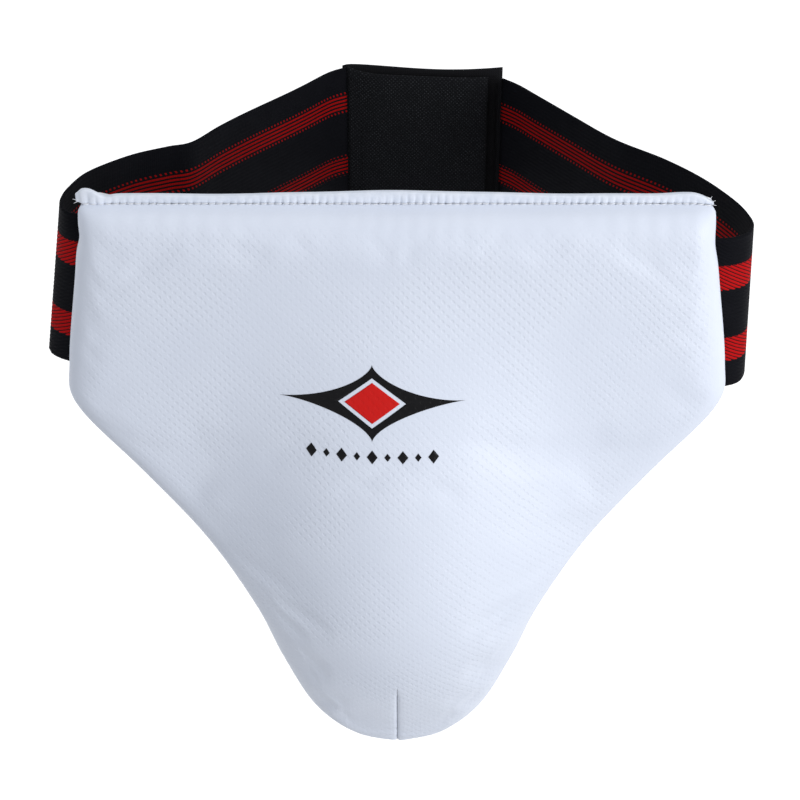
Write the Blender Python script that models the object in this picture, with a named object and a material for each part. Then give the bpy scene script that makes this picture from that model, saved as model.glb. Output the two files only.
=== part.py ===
"""Groin protector: a padded shield with a rigid cup inside, worn on an elastic waistband.

Frame, in metres: -Y points forward, away from the wearer, +Z points up, and +X points to the right of
someone who stands in front and looks at the shield. The origin is on the wearer's side of the lining,
in the middle of the pad's width and at the middle of the waistband's height.
"""

import math

import bmesh
import bpy
import numpy as np

GAP = 0.0003  # between pieces that touch on the real object
CURVE_STEPS = 24  # points between two guide points of a smooth curve
SHARP_ANGLE = math.radians(40)  # edges that turn more than this stay sharp

# Pad outline, seen from the front
PAD_TOP = 0.0545  # height of the hem's fold above the origin
PAD_HEIGHT = 0.297  # from the hem's fold to the lowest point
TOP_HALF_WIDTH = 0.137
SIDE_POINTS = (  # half width, and distance below the hem's fold, down one side
    (0.1370, 0.000),
    (0.1415, 0.034),
    (0.1485, 0.080),
    (0.1470, 0.102),
    (0.1190, 0.137),
    (0.0900, 0.174),
    (0.0700, 0.207),
    (0.0590, 0.236),
    (0.0440, 0.270),
    (0.0240, 0.290),
    (0.0000, 0.297),
)
SIDE_SAMPLES = 25  # outline points down each side
TOP_SAMPLES = 12  # outline points between the two top corners

# Pad layers, as distances forward of the lining's wearer side
LINING_THICKNESS = 0.0012
BACKING_THICKNESS = 0.0035
CUP_THICKNESS = 0.0020
COVER_THICKNESS = 0.0010
FLAT_DEPTH = 0.0160  # whole pad where it is flat
EDGE_DEPTH = 0.0064  # where the cover turns round the edge
EDGE_ROLL = 0.0140  # width of the rounded side edges
TOP_ROLL = 0.0200  # width of the rounding under the hem
CROWN = 0.0050  # extra depth that the flat part gains towards its middle line

# Cup, an egg shape about its own centre
CUP_CENTRE_DROP = 0.188  # below the hem's fold
CUP_HALF_WIDTH = 0.050
CUP_RISE = 0.082  # from the centre to the top of its flange
CUP_FALL = 0.078  # from the centre to the bottom of its flange
CUP_DEPTH = 0.036  # dome height above its flange
CUP_FLANGE = 0.84  # where the dome starts, as a part of the flange's outer size
SLOT_WIDTH = 0.0045  # breathing slots through the cup
SLOT_LENGTH = 0.034
SLOT_PITCH = 0.015
SLOT_RAISE = 0.0045  # of the slots' middle above the cup's centre

# Layers round the cup's mouth, as parts of the flange's outer size
CUSHION_INNER = 0.90
CUSHION_OUTER = 1.12
BACKING_INNER = 1.14
LINING_REACH = 0.97  # how much smaller the lining's hollow is than the dome above it
LIP_OUTER = 0.88  # where the lining leaves its flat part, on its front side
LIP_INNER = 0.855  # and on the wearer's side

# Swelling of the pad's front over the cup
SWELL_DEPTH = 0.037
SWELL_HALF_WIDTH = 0.088
SWELL_RISE = 0.135
SWELL_FALL = 0.114

# Hem along the top
HEM_HEIGHT = 0.0040
HEM_DEPTH = 0.0050  # of its front face
HEM_STITCH_DROP = 0.0034  # below the fold

# Dart under the cup
DART_START = 0.0060  # above the pad's lowest point
DART_LENGTH = 0.0560
DART_SECTIONS = 16

# Waistband
BAND_WIDTH = 0.075
BAND_THICKNESS = 0.0016
BAND_SPACING = 0.0080  # between the points of a strap's route
SQUARE_STEP = 0.0006  # of a strap's route that runs along X at each end, so that the ends are cut square
BAND_SLOPE = -0.0425  # the band sits lower towards +X
LEFT_LEAN = 0.0115  # how far the lower edge stands out beyond the upper edge near the seam
RIGHT_LEAN = 0.0035
LEAN_START = 0.0200  # length of strap over which the lean builds up
RIGHT_END_DROP = 0.0035  # the right strap meets the closure a little low
HINGE_OFFSET = 0.1492  # of the two side seams from the middle
ANCHOR_LENGTH = 0.026
LEFT_STRAP_ROUTE = (
    (-0.1515, 0.0035),
    (-0.1518, 0.0120),
    (-0.1500, 0.0260),
    (-0.1410, 0.0480),
    (-0.1250, 0.0700),
    (-0.1090, 0.0820),
    (-0.0975, 0.0890),
    (-0.0850, 0.1120),
    (-0.0670, 0.1430),
    (-0.0485, 0.1760),
    (-0.0370, 0.1960),
)
RIGHT_STRAP_ROUTE = (
    (0.1560, 0.0040),
    (0.1598, 0.0130),
    (0.1600, 0.0260),
    (0.1565, 0.0440),
    (0.1460, 0.0680),
    (0.1300, 0.0920),
    (0.1095, 0.1170),
    (0.0920, 0.1480),
    (0.0750, 0.1780),
    (0.0650, 0.1970),
)

# Hook-and-loop closure behind the wearer
CLOSURE_Y = 0.2060  # where the loop tab meets the hook patch
LOOP_TAB_START = -0.0275
LOOP_TAB_END = 0.0490
LOOP_TAB_THICKNESS = 0.0018
LOOP_TAB_HEIGHT = 0.071
TAIL_FREE_END = -0.0300
TAIL_HINGE_X = 0.0570
TAIL_THICKNESS = 0.0014
TAIL_HEIGHT = 0.076
HOOK_THICKNESS = 0.0012
HOOK_MARGIN = 0.0030  # of the hook patch inside the tail's edges

# Thread, as flat strips
THREAD_WIDTH = 0.0010
THREAD_THICKNESS = 0.0004
STITCH_INSET = 0.0040  # of a stitched box from the edge of the piece it holds

# Rings of the grid that the pad's layers share
FLANGE_RINGS = (0.30, 0.55, 0.72, CUP_FLANGE, 1.0)  # as parts of the cup's outline
MIDDLE_RINGS = (1 / 6, 1 / 3, 1 / 2, 2 / 3, 5 / 6)  # between the cup's outline and the rounded edge
EDGE_RINGS = (1.0, 0.6, 0.3, 0.1, 0.0)  # across the rounded edge, as parts of EDGE_ROLL

CUP_CENTRE_Z = PAD_TOP - CUP_CENTRE_DROP
COVER_TOP = PAD_TOP - HEM_HEIGHT - GAP
CUP_BACK = LINING_THICKNESS + 2 * GAP + BACKING_THICKNESS  # wearer side of the cup's flange


# ---------------------------------------------------------------- scene and materials


def clear_scene():
    for old in list(bpy.data.objects):
        bpy.data.objects.remove(old, do_unlink=True)


def material(name, colour, roughness, metallic=0.0):
    """A plain Principled material."""
    made = bpy.data.materials.new(name)
    made.use_nodes = True
    shader = made.node_tree.nodes["Principled BSDF"]
    shader.inputs["Base Color"].default_value = (*colour, 1.0)
    shader.inputs["Roughness"].default_value = roughness
    shader.inputs["Metallic"].default_value = metallic
    return made


def pivot(name, place, parent=None):
    """An empty on a joint's axis, which carries the pieces that turn about it."""
    empty = bpy.data.objects.new(name, None)
    bpy.context.collection.objects.link(empty)
    origin = np.zeros(3)
    if parent is not None:
        empty.parent = parent
        origin = np.array(parent.matrix_world.translation)
    empty.location = np.array(place) - origin
    bpy.context.view_layer.update()
    return empty


def add_piece(name, points, faces, finish, parent=None):
    """One closed body, from points in the frame; its own origin is its parent's."""
    origin = np.zeros(3)
    if parent is not None:
        origin = np.array(parent.matrix_world.translation)
    mesh = bpy.data.meshes.new(name)
    mesh.from_pydata([tuple(p) for p in np.asarray(points) - origin], [], faces)
    work = bmesh.new()
    work.from_mesh(mesh)
    bmesh.ops.recalc_face_normals(work, faces=work.faces)
    if work.calc_volume(signed=True) < 0:
        bmesh.ops.reverse_faces(work, faces=work.faces)
    work.to_mesh(mesh)
    work.free()
    mesh.shade_smooth()
    mesh.set_sharp_from_angle(angle=SHARP_ANGLE)
    mesh.materials.append(finish)
    piece = bpy.data.objects.new(name, mesh)
    bpy.context.collection.objects.link(piece)
    piece.parent = parent
    return piece


# ---------------------------------------------------------------- curves


def smooth_route(corners, spacing):
    """Points about one spacing apart on a Catmull-Rom curve through the corners."""
    corners = np.array(corners, float)
    before = 2 * corners[0] - corners[1]
    after = 2 * corners[-1] - corners[-2]
    guides = np.vstack([before, corners, after])
    steps = np.linspace(0, 1, CURVE_STEPS, endpoint=False)[:, None]
    fine = []
    for a, b, c, d in zip(guides, guides[1:], guides[2:], guides[3:]):
        curve = 2 * b + (c - a) * steps
        curve = curve + (2 * a - 5 * b + 4 * c - d) * steps**2
        curve = curve + (3 * b - a - 3 * c + d) * steps**3
        fine.append(curve / 2)
    fine = np.vstack([*fine, corners[-1:]])
    count = max(2, round(arc_length(fine)[-1] / spacing) + 1)
    return resample(fine, count)


def arc_length(points):
    steps = np.linalg.norm(np.diff(points, axis=0), axis=1)
    return np.concatenate([[0.0], np.cumsum(steps)])


def resample(points, count):
    along = arc_length(points)
    wanted = np.linspace(0, along[-1], count)
    return np.stack([np.interp(wanted, along, column) for column in points.T], axis=1)


# ---------------------------------------------------------------- pad surfaces


def pad_outline(top):
    """The pad's outline as (x, z) corners, clockwise from the top left, with its top edge at a height."""
    side = smooth_route([(x, PAD_TOP - drop) for x, drop in SIDE_POINTS], 0.002)
    side = np.vstack([[np.interp(-top, -side[:, 1], side[:, 0]), top], side[side[:, 1] < top - 1e-6]])
    side = resample(side, SIDE_SAMPLES)
    edge = np.linspace([-side[0, 0], top], side[0], TOP_SAMPLES + 2)[1:-1]
    left = side[-2::-1] * (-1, 1)
    return np.vstack([edge, side, left])


def edge_distance(x, z, outline):
    """Distance of points to the side edges of an outline, whose straight top edge is left out."""
    starts = outline[TOP_SAMPLES:-1]
    ends = outline[TOP_SAMPLES + 1 :]
    points = np.stack([np.ravel(x), np.ravel(z)], axis=1)[:, None]
    run = ends - starts
    along = ((points - starts) * run).sum(-1) / (run**2).sum(-1)
    nearest = starts + np.clip(along, 0, 1)[..., None] * run
    return np.linalg.norm(points - nearest, axis=-1).min(axis=1).reshape(np.shape(x))


def egg_radius(x, z, half_width, rise, fall):
    """0 at the cup's centre and 1 on an egg-shaped outline about it."""
    up = z - CUP_CENTRE_Z
    return np.hypot(x / half_width, up / np.where(up > 0, rise, fall))


def quarter_round(distance, width):
    """0 at an edge, rising along a quarter ellipse to 1 at the given width."""
    return np.sqrt(1 - (1 - np.clip(distance / width, 0, 1)) ** 2)


def pad_front(x, z, shell):
    """Depth of the cover's outer side, or of a layer that lies a shell's thickness inside it."""
    swell = np.clip(1 - egg_radius(x, z, SWELL_HALF_WIDTH, SWELL_RISE, SWELL_FALL) ** 2, 0, 1) ** 1.5
    crown = np.clip(1 - (x / TOP_HALF_WIDTH) ** 2, 0, 1)
    full = FLAT_DEPTH + CROWN * crown + SWELL_DEPTH * swell - shell
    roll = quarter_round(edge_distance(x, z, COVER_OUTLINE) - shell, EDGE_ROLL - shell)
    roll = roll * quarter_round(COVER_TOP - z - shell, TOP_ROLL - shell)
    return EDGE_DEPTH + (full - EDGE_DEPTH) * roll


def cup_dome(x, z):
    """Height of the cup's dome above its flange."""
    radius = egg_radius(x, z, CUP_HALF_WIDTH, CUP_RISE, CUP_FALL) / CUP_FLANGE
    return CUP_DEPTH * np.clip(1 - radius**2, 0, 1) ** 0.7


def cup_ring(part, outline):
    """A ring of the shared grid over the cup, as a part of the flange's outline."""
    ways = outline - (0, CUP_CENTRE_Z)
    ways /= np.linalg.norm(ways, axis=1)[:, None]
    reach = 1 / egg_radius(ways[:, 0], ways[:, 1] + CUP_CENTRE_Z, CUP_HALF_WIDTH, CUP_RISE, CUP_FALL)
    return (0, CUP_CENTRE_Z) + ways * (reach * part)[:, None]


def inward(outline):
    """For each corner, the step that moves its two sides inward by one unit."""
    before = outline - np.roll(outline, 1, axis=0)
    after = np.roll(before, -1, axis=0)
    normals = []
    for run in (before, after):
        run = run / np.linalg.norm(run, axis=1)[:, None]
        normals.append(np.stack([run[:, 1], -run[:, 0]], axis=1))
    shared = 1 + (normals[0] * normals[1]).sum(axis=1)
    return (normals[0] + normals[1]) / shared[:, None]


def edge_ring(part, outline, shell):
    """A ring across the rounded edge: part 1 is its inner side, and 0 is a shell's thickness inside it."""
    return outline + inward(outline) * (shell + (EDGE_ROLL - shell) * part)


def grid_rings(outline, shell):
    """Rings of (x, z) points from the middle of the pad to its edge, shared by all its layers."""
    rings = [cup_ring(part, outline) for part in FLANGE_RINGS]
    inner = cup_ring(1.0, outline)
    outer = edge_ring(1.0, outline, shell)
    rings += [inner + (outer - inner) * part for part in MIDDLE_RINGS]
    rings += [edge_ring(part, outline, shell) for part in EDGE_RINGS]
    return rings


def at_depth(ring, depth):
    """Points in the frame from a ring of (x, z) points and their depth."""
    return np.stack([ring[:, 0], -np.broadcast_to(depth, len(ring)), ring[:, 1]], axis=1)


# ---------------------------------------------------------------- bodies from rings


def loft(rings, first_cap=None, last_cap=None):
    """Points and faces of rings joined in turn, closed by two cap points, or last ring to first.

    Each four corners are split the same way whether the rings grow or shrink, so nested layers stay apart.
    """
    count = len(rings[0])
    points = np.vstack(rings)
    turns = len(rings) if first_cap is None else len(rings) - 1
    faces = []
    for ring in range(turns):
        following = (ring + 1) % len(rings)
        grows = np.ptp(rings[following][:, 0]) > np.ptp(rings[ring][:, 0])
        here, there = ring * count, following * count
        for k in range(count):
            after = (k + 1) % count
            if grows:
                faces.append((here + k, here + after, there + after))
                faces.append((here + k, there + after, there + k))
            else:
                faces.append((here + k, here + after, there + k))
                faces.append((here + after, there + after, there + k))
    for cap, start in ((first_cap, 0), (last_cap, (len(rings) - 1) * count)):
        if cap is None:
            continue
        tip = len(points)
        points = np.vstack([points, cap])
        faces += [(tip, start + k, start + (k + 1) % count) for k in range(count)]
    return points, faces


def ribbon(route, inner, outer, low, high, lean=0.0):
    """Points and faces of a flat band that stands on edge along a route of (x, y) points.

    inner and outer are its faces' distances to the left of the route. low and high are its edges'
    heights, and lean moves its lower edge to the left.
    """
    route = np.array(route, float)
    ways = np.gradient(route, axis=0)
    ways /= np.linalg.norm(ways, axis=1)[:, None]
    sides = np.stack([-ways[:, 1], ways[:, 0]], axis=1)
    low = np.broadcast_to(low, len(route))
    high = np.broadcast_to(high, len(route))
    lean = np.broadcast_to(lean, len(route))
    sections = []
    for place, side, bottom, top, shift in zip(route, sides, low, high, lean):
        near = place + side * inner
        far = place + side * outer
        moved = side * shift
        section = [(*(near + moved), bottom), (*(far + moved), bottom), (*far, top), (*near, top)]
        sections.append(section)
    return bar(sections)


def bar(sections):
    """Points and faces of four-cornered sections joined in turn, with flat ends."""
    points = np.array(sections).reshape(-1, 3)
    faces = []
    for start in range(0, len(points) - 4, 4):
        for corner in range(4):
            after = (corner + 1) % 4
            faces.append((start + corner, start + after, start + 4 + after, start + 4 + corner))
    last = len(points) - 4
    faces.append((0, 1, 2, 3))
    faces.append((last, last + 1, last + 2, last + 3))
    return points, faces


def stitched_box(x_range, z_range, slope, near_y, far_y):
    """Points and faces of a rectangle of thread that lies in an XZ plane."""
    half = THREAD_WIDTH / 2
    rings = []
    for y, grow in ((near_y, half), (far_y, half), (far_y, -half), (near_y, -half)):
        corners = []
        for x, z in ((0, 0), (1, 0), (1, 1), (0, 1)):
            across = x_range[x] + (grow if x else -grow)
            corners.append((across, y, slope * across + z_range[z] + (grow if z else -grow)))
        rings.append(np.array(corners))
    return loft(rings)


# ---------------------------------------------------------------- the pad's pieces


def front_cover(finish):
    """The embossed cover: a thin shell that wraps the foam and comes back to the lining round its edge."""
    outside = grid_rings(COVER_OUTLINE, 0.0)
    inside = grid_rings(COVER_OUTLINE, COVER_THICKNESS)
    rim = LINING_THICKNESS + GAP
    rings = [at_depth(ring, pad_front(ring[:, 0], ring[:, 1], 0.0)) for ring in outside]
    rings.append(at_depth(edge_ring(0.0, COVER_OUTLINE, GAP), rim))
    rings.append(at_depth(edge_ring(0.0, COVER_OUTLINE, GAP + COVER_THICKNESS), rim))
    rings += [at_depth(ring, pad_front(ring[:, 0], ring[:, 1], COVER_THICKNESS)) for ring in inside[::-1]]
    front = middle_point(pad_front, 0.0)
    back = middle_point(pad_front, COVER_THICKNESS)
    return add_piece("front_cover", *loft(rings, front, back), finish)


def middle_point(surface, *shell):
    return (0, -float(surface(np.zeros(1), np.full(1, CUP_CENTRE_Z), *shell)[0]), CUP_CENTRE_Z)


def foam_core(finish):
    """The thick foam that fills the cover and is hollowed over the cup."""
    shell = COVER_THICKNESS + GAP
    grid = grid_rings(COVER_OUTLINE, shell)
    over_cup = CUP_BACK + CUP_THICKNESS + GAP
    pocket = cup_ring(1.0 + GAP / CUP_HALF_WIDTH, COVER_OUTLINE)
    shoulder = cup_ring(1.0 + 4 * GAP / CUP_HALF_WIDTH, COVER_OUTLINE)
    rings = [at_depth(ring, pad_front(ring[:, 0], ring[:, 1], shell)) for ring in grid]
    outer_back = grid[len(FLANGE_RINGS) :][::-1]
    rings += [at_depth(ring, CUP_BACK) for ring in outer_back]
    rings.append(at_depth(shoulder, CUP_BACK))
    rings.append(at_depth(pocket, over_cup))
    inner_back = grid[: len(FLANGE_RINGS) - 1][::-1]
    rings += [at_depth(ring, over_cup + cup_dome(ring[:, 0], ring[:, 1])) for ring in inner_back]
    front = middle_point(pad_front, shell)
    back = (0, -(over_cup + CUP_DEPTH), CUP_CENTRE_Z)
    return add_piece("foam_core", *loft(rings, front, back), finish)


def hard_cup(finish):
    """The rigid cup, with breathing slots cut through its dome."""
    parts = FLANGE_RINGS
    rings = []
    for part in parts:
        ring = cup_ring(part, COVER_OUTLINE)
        rings.append(at_depth(ring, CUP_BACK + CUP_THICKNESS + cup_dome(ring[:, 0], ring[:, 1])))
    for part in parts[::-1]:
        ring = cup_ring(part, COVER_OUTLINE)
        rings.append(at_depth(ring, CUP_BACK + cup_dome(ring[:, 0], ring[:, 1])))
    front = (0, -(CUP_BACK + CUP_THICKNESS + CUP_DEPTH), CUP_CENTRE_Z)
    back = (0, -(CUP_BACK + CUP_DEPTH), CUP_CENTRE_Z)
    cup = add_piece("hard_cup", *loft(rings, front, back), finish)
    for k in (-1, 0, 1):
        cutter = slot_cutter(k * SLOT_PITCH)
        cut = cup.modifiers.new("slot", "BOOLEAN")
        cut.operation = "DIFFERENCE"
        cut.object = cutter
    return cup


def slot_cutter(x):
    """A box that cuts one upright slot, left out of the model."""
    bpy.ops.mesh.primitive_cube_add(size=1)
    cutter = bpy.context.object
    cutter.name = "slot_guide"
    cutter.scale = (SLOT_WIDTH, CUP_DEPTH, SLOT_LENGTH)
    cutter.location = (x, -(CUP_BACK + CUP_DEPTH), CUP_CENTRE_Z + SLOT_RAISE)
    cutter.display_type = "WIRE"
    cutter.hide_render = True
    return cutter


def cup_rim_cushion(finish):
    """A soft ring on the wearer's side of the cup's flange."""
    inner = cup_ring(CUSHION_INNER, COVER_OUTLINE)
    outer = cup_ring(CUSHION_OUTER, COVER_OUTLINE)
    return foam_sheet("cup_rim_cushion", inner, outer, finish)


def backing_foam(finish):
    """The thin foam behind the core, open round the cup's cushion."""
    inner = cup_ring(BACKING_INNER, COVER_OUTLINE)
    outer = edge_ring(0.0, COVER_OUTLINE, COVER_THICKNESS + 3 * GAP)
    return foam_sheet("backing_foam", inner, outer, finish)


def foam_sheet(name, inner, outer, finish):
    """Thin foam between two rings, next to the lining."""
    near = LINING_THICKNESS + GAP
    far = near + BACKING_THICKNESS
    rings = [at_depth(inner, near), at_depth(outer, near), at_depth(outer, far), at_depth(inner, far)]
    return add_piece(name, *loft(rings), finish)


def back_lining(finish):
    """The wearer's side: flat round the cup, and dipping into it."""
    hollow = [part for part in FLANGE_RINGS if part <= CUP_FLANGE]
    depth = CUP_BACK - LINING_THICKNESS - GAP
    near_rings = []
    far_rings = []
    for part in hollow:
        ring = cup_ring(part * LINING_REACH, COVER_OUTLINE)
        full = cup_ring(part, COVER_OUTLINE)
        dip = depth + cup_dome(full[:, 0], full[:, 1])
        near_rings.append(at_depth(ring, dip))
        far_rings.append(at_depth(ring, dip + LINING_THICKNESS))
    lip = cup_ring(LIP_OUTER, COVER_OUTLINE)
    lip_inside = cup_ring(LIP_INNER, COVER_OUTLINE)
    outer = edge_ring(0.0, LINING_OUTLINE, 2 * GAP)
    near_rings += [at_depth(lip_inside, 0.0), at_depth(outer, 0.0)]
    far_rings += [at_depth(lip, LINING_THICKNESS), at_depth(outer, LINING_THICKNESS)]
    front = (0, -(depth + LINING_THICKNESS + CUP_DEPTH), CUP_CENTRE_Z)
    back = (0, -(depth + CUP_DEPTH), CUP_CENTRE_Z)
    return add_piece("back_lining", *loft(near_rings + far_rings[::-1], back, front), finish)


def top_hem(finish):
    """The cover's folded top edge."""
    route = [(-TOP_HALF_WIDTH, 0), (TOP_HALF_WIDTH, 0)]
    near = -(LINING_THICKNESS + 2 * GAP)
    body = ribbon(route, -HEM_DEPTH, near, PAD_TOP - HEM_HEIGHT, PAD_TOP)
    return add_piece("top_hem", *body, finish)


def hem_stitching(finish):
    half = THREAD_WIDTH / 2
    reach = TOP_HALF_WIDTH - STITCH_INSET
    height = PAD_TOP - HEM_STITCH_DROP
    near = -(HEM_DEPTH + GAP)
    body = ribbon([(-reach, 0), (reach, 0)], near - THREAD_THICKNESS, near, height - half, height + half)
    return add_piece("hem_stitching", *body, finish)


def dart_stitching(finish):
    """The short upright seam that gathers the cover under the cup."""
    low = PAD_TOP - PAD_HEIGHT + DART_START
    half = THREAD_WIDTH / 2
    sections = []
    for z in np.linspace(low, low + DART_LENGTH, DART_SECTIONS):
        y = -float(pad_front(np.zeros(1), np.full(1, z), 0.0)[0]) - 2 * GAP
        outer_y = y - THREAD_THICKNESS
        sections.append([(-half, y, z), (half, y, z), (half, outer_y, z), (-half, outer_y, z)])
    return add_piece("dart_stitching", *bar(sections), finish)


# ---------------------------------------------------------------- the waistband's pieces


def band_height(x):
    """Middle of the band's height, which falls towards +X."""
    return BAND_SLOPE * np.asarray(x, float)


def band(name, route, inner, outer, height, finish, parent=None, lean=0.0, drop=0.0):
    """A length of the band, centred on the band's own height less a drop."""
    middle = band_height(np.array(route)[:, 0]) - drop
    body = ribbon(route, inner, outer, middle - height / 2, middle + height / 2, lean)
    return add_piece(name, *body, finish, parent)


def strap_lean(route, amount):
    """The lean builds up past the seam and fades to nothing at the closure."""
    along = arc_length(route)
    built = np.clip(along / LEAN_START, 0, 1)
    return amount * built**2 * (3 - 2 * built) * (1 - along / along[-1])


def strap_anchor(name, side, finish):
    """The band's sewn end, flat on the lining."""
    inner_x = side * (HINGE_OFFSET - ANCHOR_LENGTH)
    outer_x = side * (HINGE_OFFSET - GAP / 2)
    route = sorted([(inner_x, GAP), (outer_x, GAP)])
    return band(name, route, 0.0, BAND_THICKNESS, BAND_WIDTH, finish)


def anchor_stitching(name, side, finish):
    """A stitched box that holds the band's end to the pad."""
    inner_x = side * (HINGE_OFFSET - ANCHOR_LENGTH + STITCH_INSET)
    outer_x = side * (TOP_HALF_WIDTH - STITCH_INSET)
    x_range = sorted([inner_x, outer_x])
    reach = BAND_WIDTH / 2 - STITCH_INSET
    near = BAND_THICKNESS + 2 * GAP
    body = stitched_box(x_range, (-reach, reach), BAND_SLOPE, near, near + THREAD_THICKNESS)
    return add_piece(name, *body, finish)


def left_strap(finish, parent):
    """The elastic from the left side seam to the loop tab, with a soft crease half way."""
    middle = GAP + BAND_THICKNESS / 2
    start = (-HINGE_OFFSET - GAP / 2, middle)
    end = (LOOP_TAB_START - GAP, CLOSURE_Y - LOOP_TAB_THICKNESS / 2)
    route = smooth_route([start, *LEFT_STRAP_ROUTE, end], BAND_SPACING)
    route = squared_ends(route)
    half = BAND_THICKNESS / 2
    lean = strap_lean(route, LEFT_LEAN)
    return band("left_strap", route, -half, half, BAND_WIDTH, finish, parent, lean)


def right_strap(finish, parent):
    """The elastic from the right side seam to the closure's outer tail."""
    middle = GAP + BAND_THICKNESS / 2
    start = (HINGE_OFFSET + GAP / 2, middle)
    outer_face = CLOSURE_Y + GAP + HOOK_THICKNESS + GAP + TAIL_THICKNESS
    end = (TAIL_HINGE_X + GAP / 2, outer_face - BAND_THICKNESS / 2)
    route = smooth_route([start, *RIGHT_STRAP_ROUTE, end], BAND_SPACING)
    route = squared_ends(route)
    half = BAND_THICKNESS / 2
    lean = strap_lean(route, -RIGHT_LEAN)
    drop = RIGHT_END_DROP * (arc_length(route) / arc_length(route)[-1]) ** 2
    return band("right_strap", route, -half, half, BAND_WIDTH, finish, parent, lean, drop)


def squared_ends(route):
    """The route with a first and a last step along X, so that both ends are cut square to X."""
    first = route[0] + (math.copysign(SQUARE_STEP, route[1, 0] - route[0, 0]), 0)
    last = route[-1] - (math.copysign(SQUARE_STEP, route[-1, 0] - route[-2, 0]), 0)
    return np.vstack([route[0], first, route[1:-1], last, route[-1]])


def loop_tab(finish, parent):
    """The pile-faced inner end of the closure."""
    route = [(LOOP_TAB_START, CLOSURE_Y), (LOOP_TAB_END, CLOSURE_Y)]
    return band("loop_tab", route, -LOOP_TAB_THICKNESS, 0.0, LOOP_TAB_HEIGHT, finish, parent)


def loop_tab_stitching(finish, parent):
    near = CLOSURE_Y - LOOP_TAB_THICKNESS - GAP
    x_range = (LOOP_TAB_START + THREAD_WIDTH, LOOP_TAB_START + 2 * STITCH_INSET)
    reach = LOOP_TAB_HEIGHT / 2 - STITCH_INSET
    body = stitched_box(x_range, (-reach, reach), BAND_SLOPE, near - THREAD_THICKNESS, near)
    return add_piece("loop_tab_stitching", *body, finish, parent)


def hook_patch(finish, parent):
    """The hook tape on the inner face of the outer tail."""
    near = CLOSURE_Y + GAP
    route = [(TAIL_FREE_END + HOOK_MARGIN, near), (TAIL_HINGE_X - HOOK_MARGIN, near)]
    return band("hook_patch", route, 0.0, HOOK_THICKNESS, TAIL_HEIGHT - 2 * HOOK_MARGIN, finish, parent)


def strap_tail(finish, parent):
    """The plain webbing that carries the hook tape."""
    near = CLOSURE_Y + GAP + HOOK_THICKNESS + GAP
    route = [(TAIL_FREE_END, near), (TAIL_HINGE_X - GAP / 2, near)]
    return band("strap_tail", route, 0.0, TAIL_THICKNESS, TAIL_HEIGHT, finish, parent)


def hook_patch_stitching(finish, parent):
    near = CLOSURE_Y + 3 * GAP + HOOK_THICKNESS + TAIL_THICKNESS
    x_range = (TAIL_FREE_END + STITCH_INSET, TAIL_HINGE_X - STITCH_INSET)
    reach = TAIL_HEIGHT / 2 - STITCH_INSET
    body = stitched_box(x_range, (-reach, reach), BAND_SLOPE, near, near + THREAD_THICKNESS)
    return add_piece("hook_patch_stitching", *body, finish, parent)


# ---------------------------------------------------------------- the whole object


def build():
    clear_scene()
    white = material("embossed_cover", (0.80, 0.84, 0.93), 0.45)
    white_hem = material("hem_fold", (0.80, 0.84, 0.93), 0.5)
    lining = material("lining_cloth", (0.78, 0.80, 0.84), 0.85)
    dense_foam = material("dense_foam", (0.72, 0.74, 0.78), 0.9)
    soft_foam = material("soft_foam", (0.70, 0.72, 0.76), 0.95)
    plastic = material("cup_plastic", (0.82, 0.83, 0.85), 0.35)
    elastic = material("striped_elastic", (0.012, 0.012, 0.016), 0.75)
    hooks = material("hook_tape", (0.010, 0.010, 0.012), 0.6)
    pile = material("loop_pile", (0.014, 0.014, 0.017), 0.95)
    webbing = material("black_webbing", (0.012, 0.012, 0.015), 0.8)
    white_thread = material("white_thread", (0.78, 0.80, 0.86), 0.6)
    black_thread = material("black_thread", (0.015, 0.015, 0.018), 0.6)

    front_cover(white)
    foam_core(dense_foam)
    hard_cup(plastic)
    cup_rim_cushion(soft_foam)
    backing_foam(soft_foam)
    back_lining(lining)
    top_hem(white_hem)
    hem_stitching(white_thread)
    dart_stitching(white_thread)
    for name, side in (("left", -1), ("right", 1)):
        strap_anchor(f"{name}_strap_anchor", side, elastic)
        anchor_stitching(f"{name}_anchor_stitching", side, black_thread)

    left_seam = pivot("left_seam", (-HINGE_OFFSET, GAP, 0))
    left_strap(elastic, left_seam)
    loop_tab(pile, left_seam)
    loop_tab_stitching(black_thread, left_seam)

    right_seam = pivot("right_seam", (HINGE_OFFSET, GAP, 0))
    right_strap(elastic, right_seam)
    outer_face = CLOSURE_Y + 2 * GAP + HOOK_THICKNESS + TAIL_THICKNESS
    closure_fold = pivot("closure_fold", (TAIL_HINGE_X, outer_face, 0), right_seam)
    hook_patch(hooks, closure_fold)
    strap_tail(webbing, closure_fold)
    hook_patch_stitching(black_thread, closure_fold)


COVER_OUTLINE = pad_outline(COVER_TOP)
LINING_OUTLINE = pad_outline(PAD_TOP)

build()
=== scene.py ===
import math

import bmesh
import bpy
import numpy as np
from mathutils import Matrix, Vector
from mathutils.bvhtree import BVHTree


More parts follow.
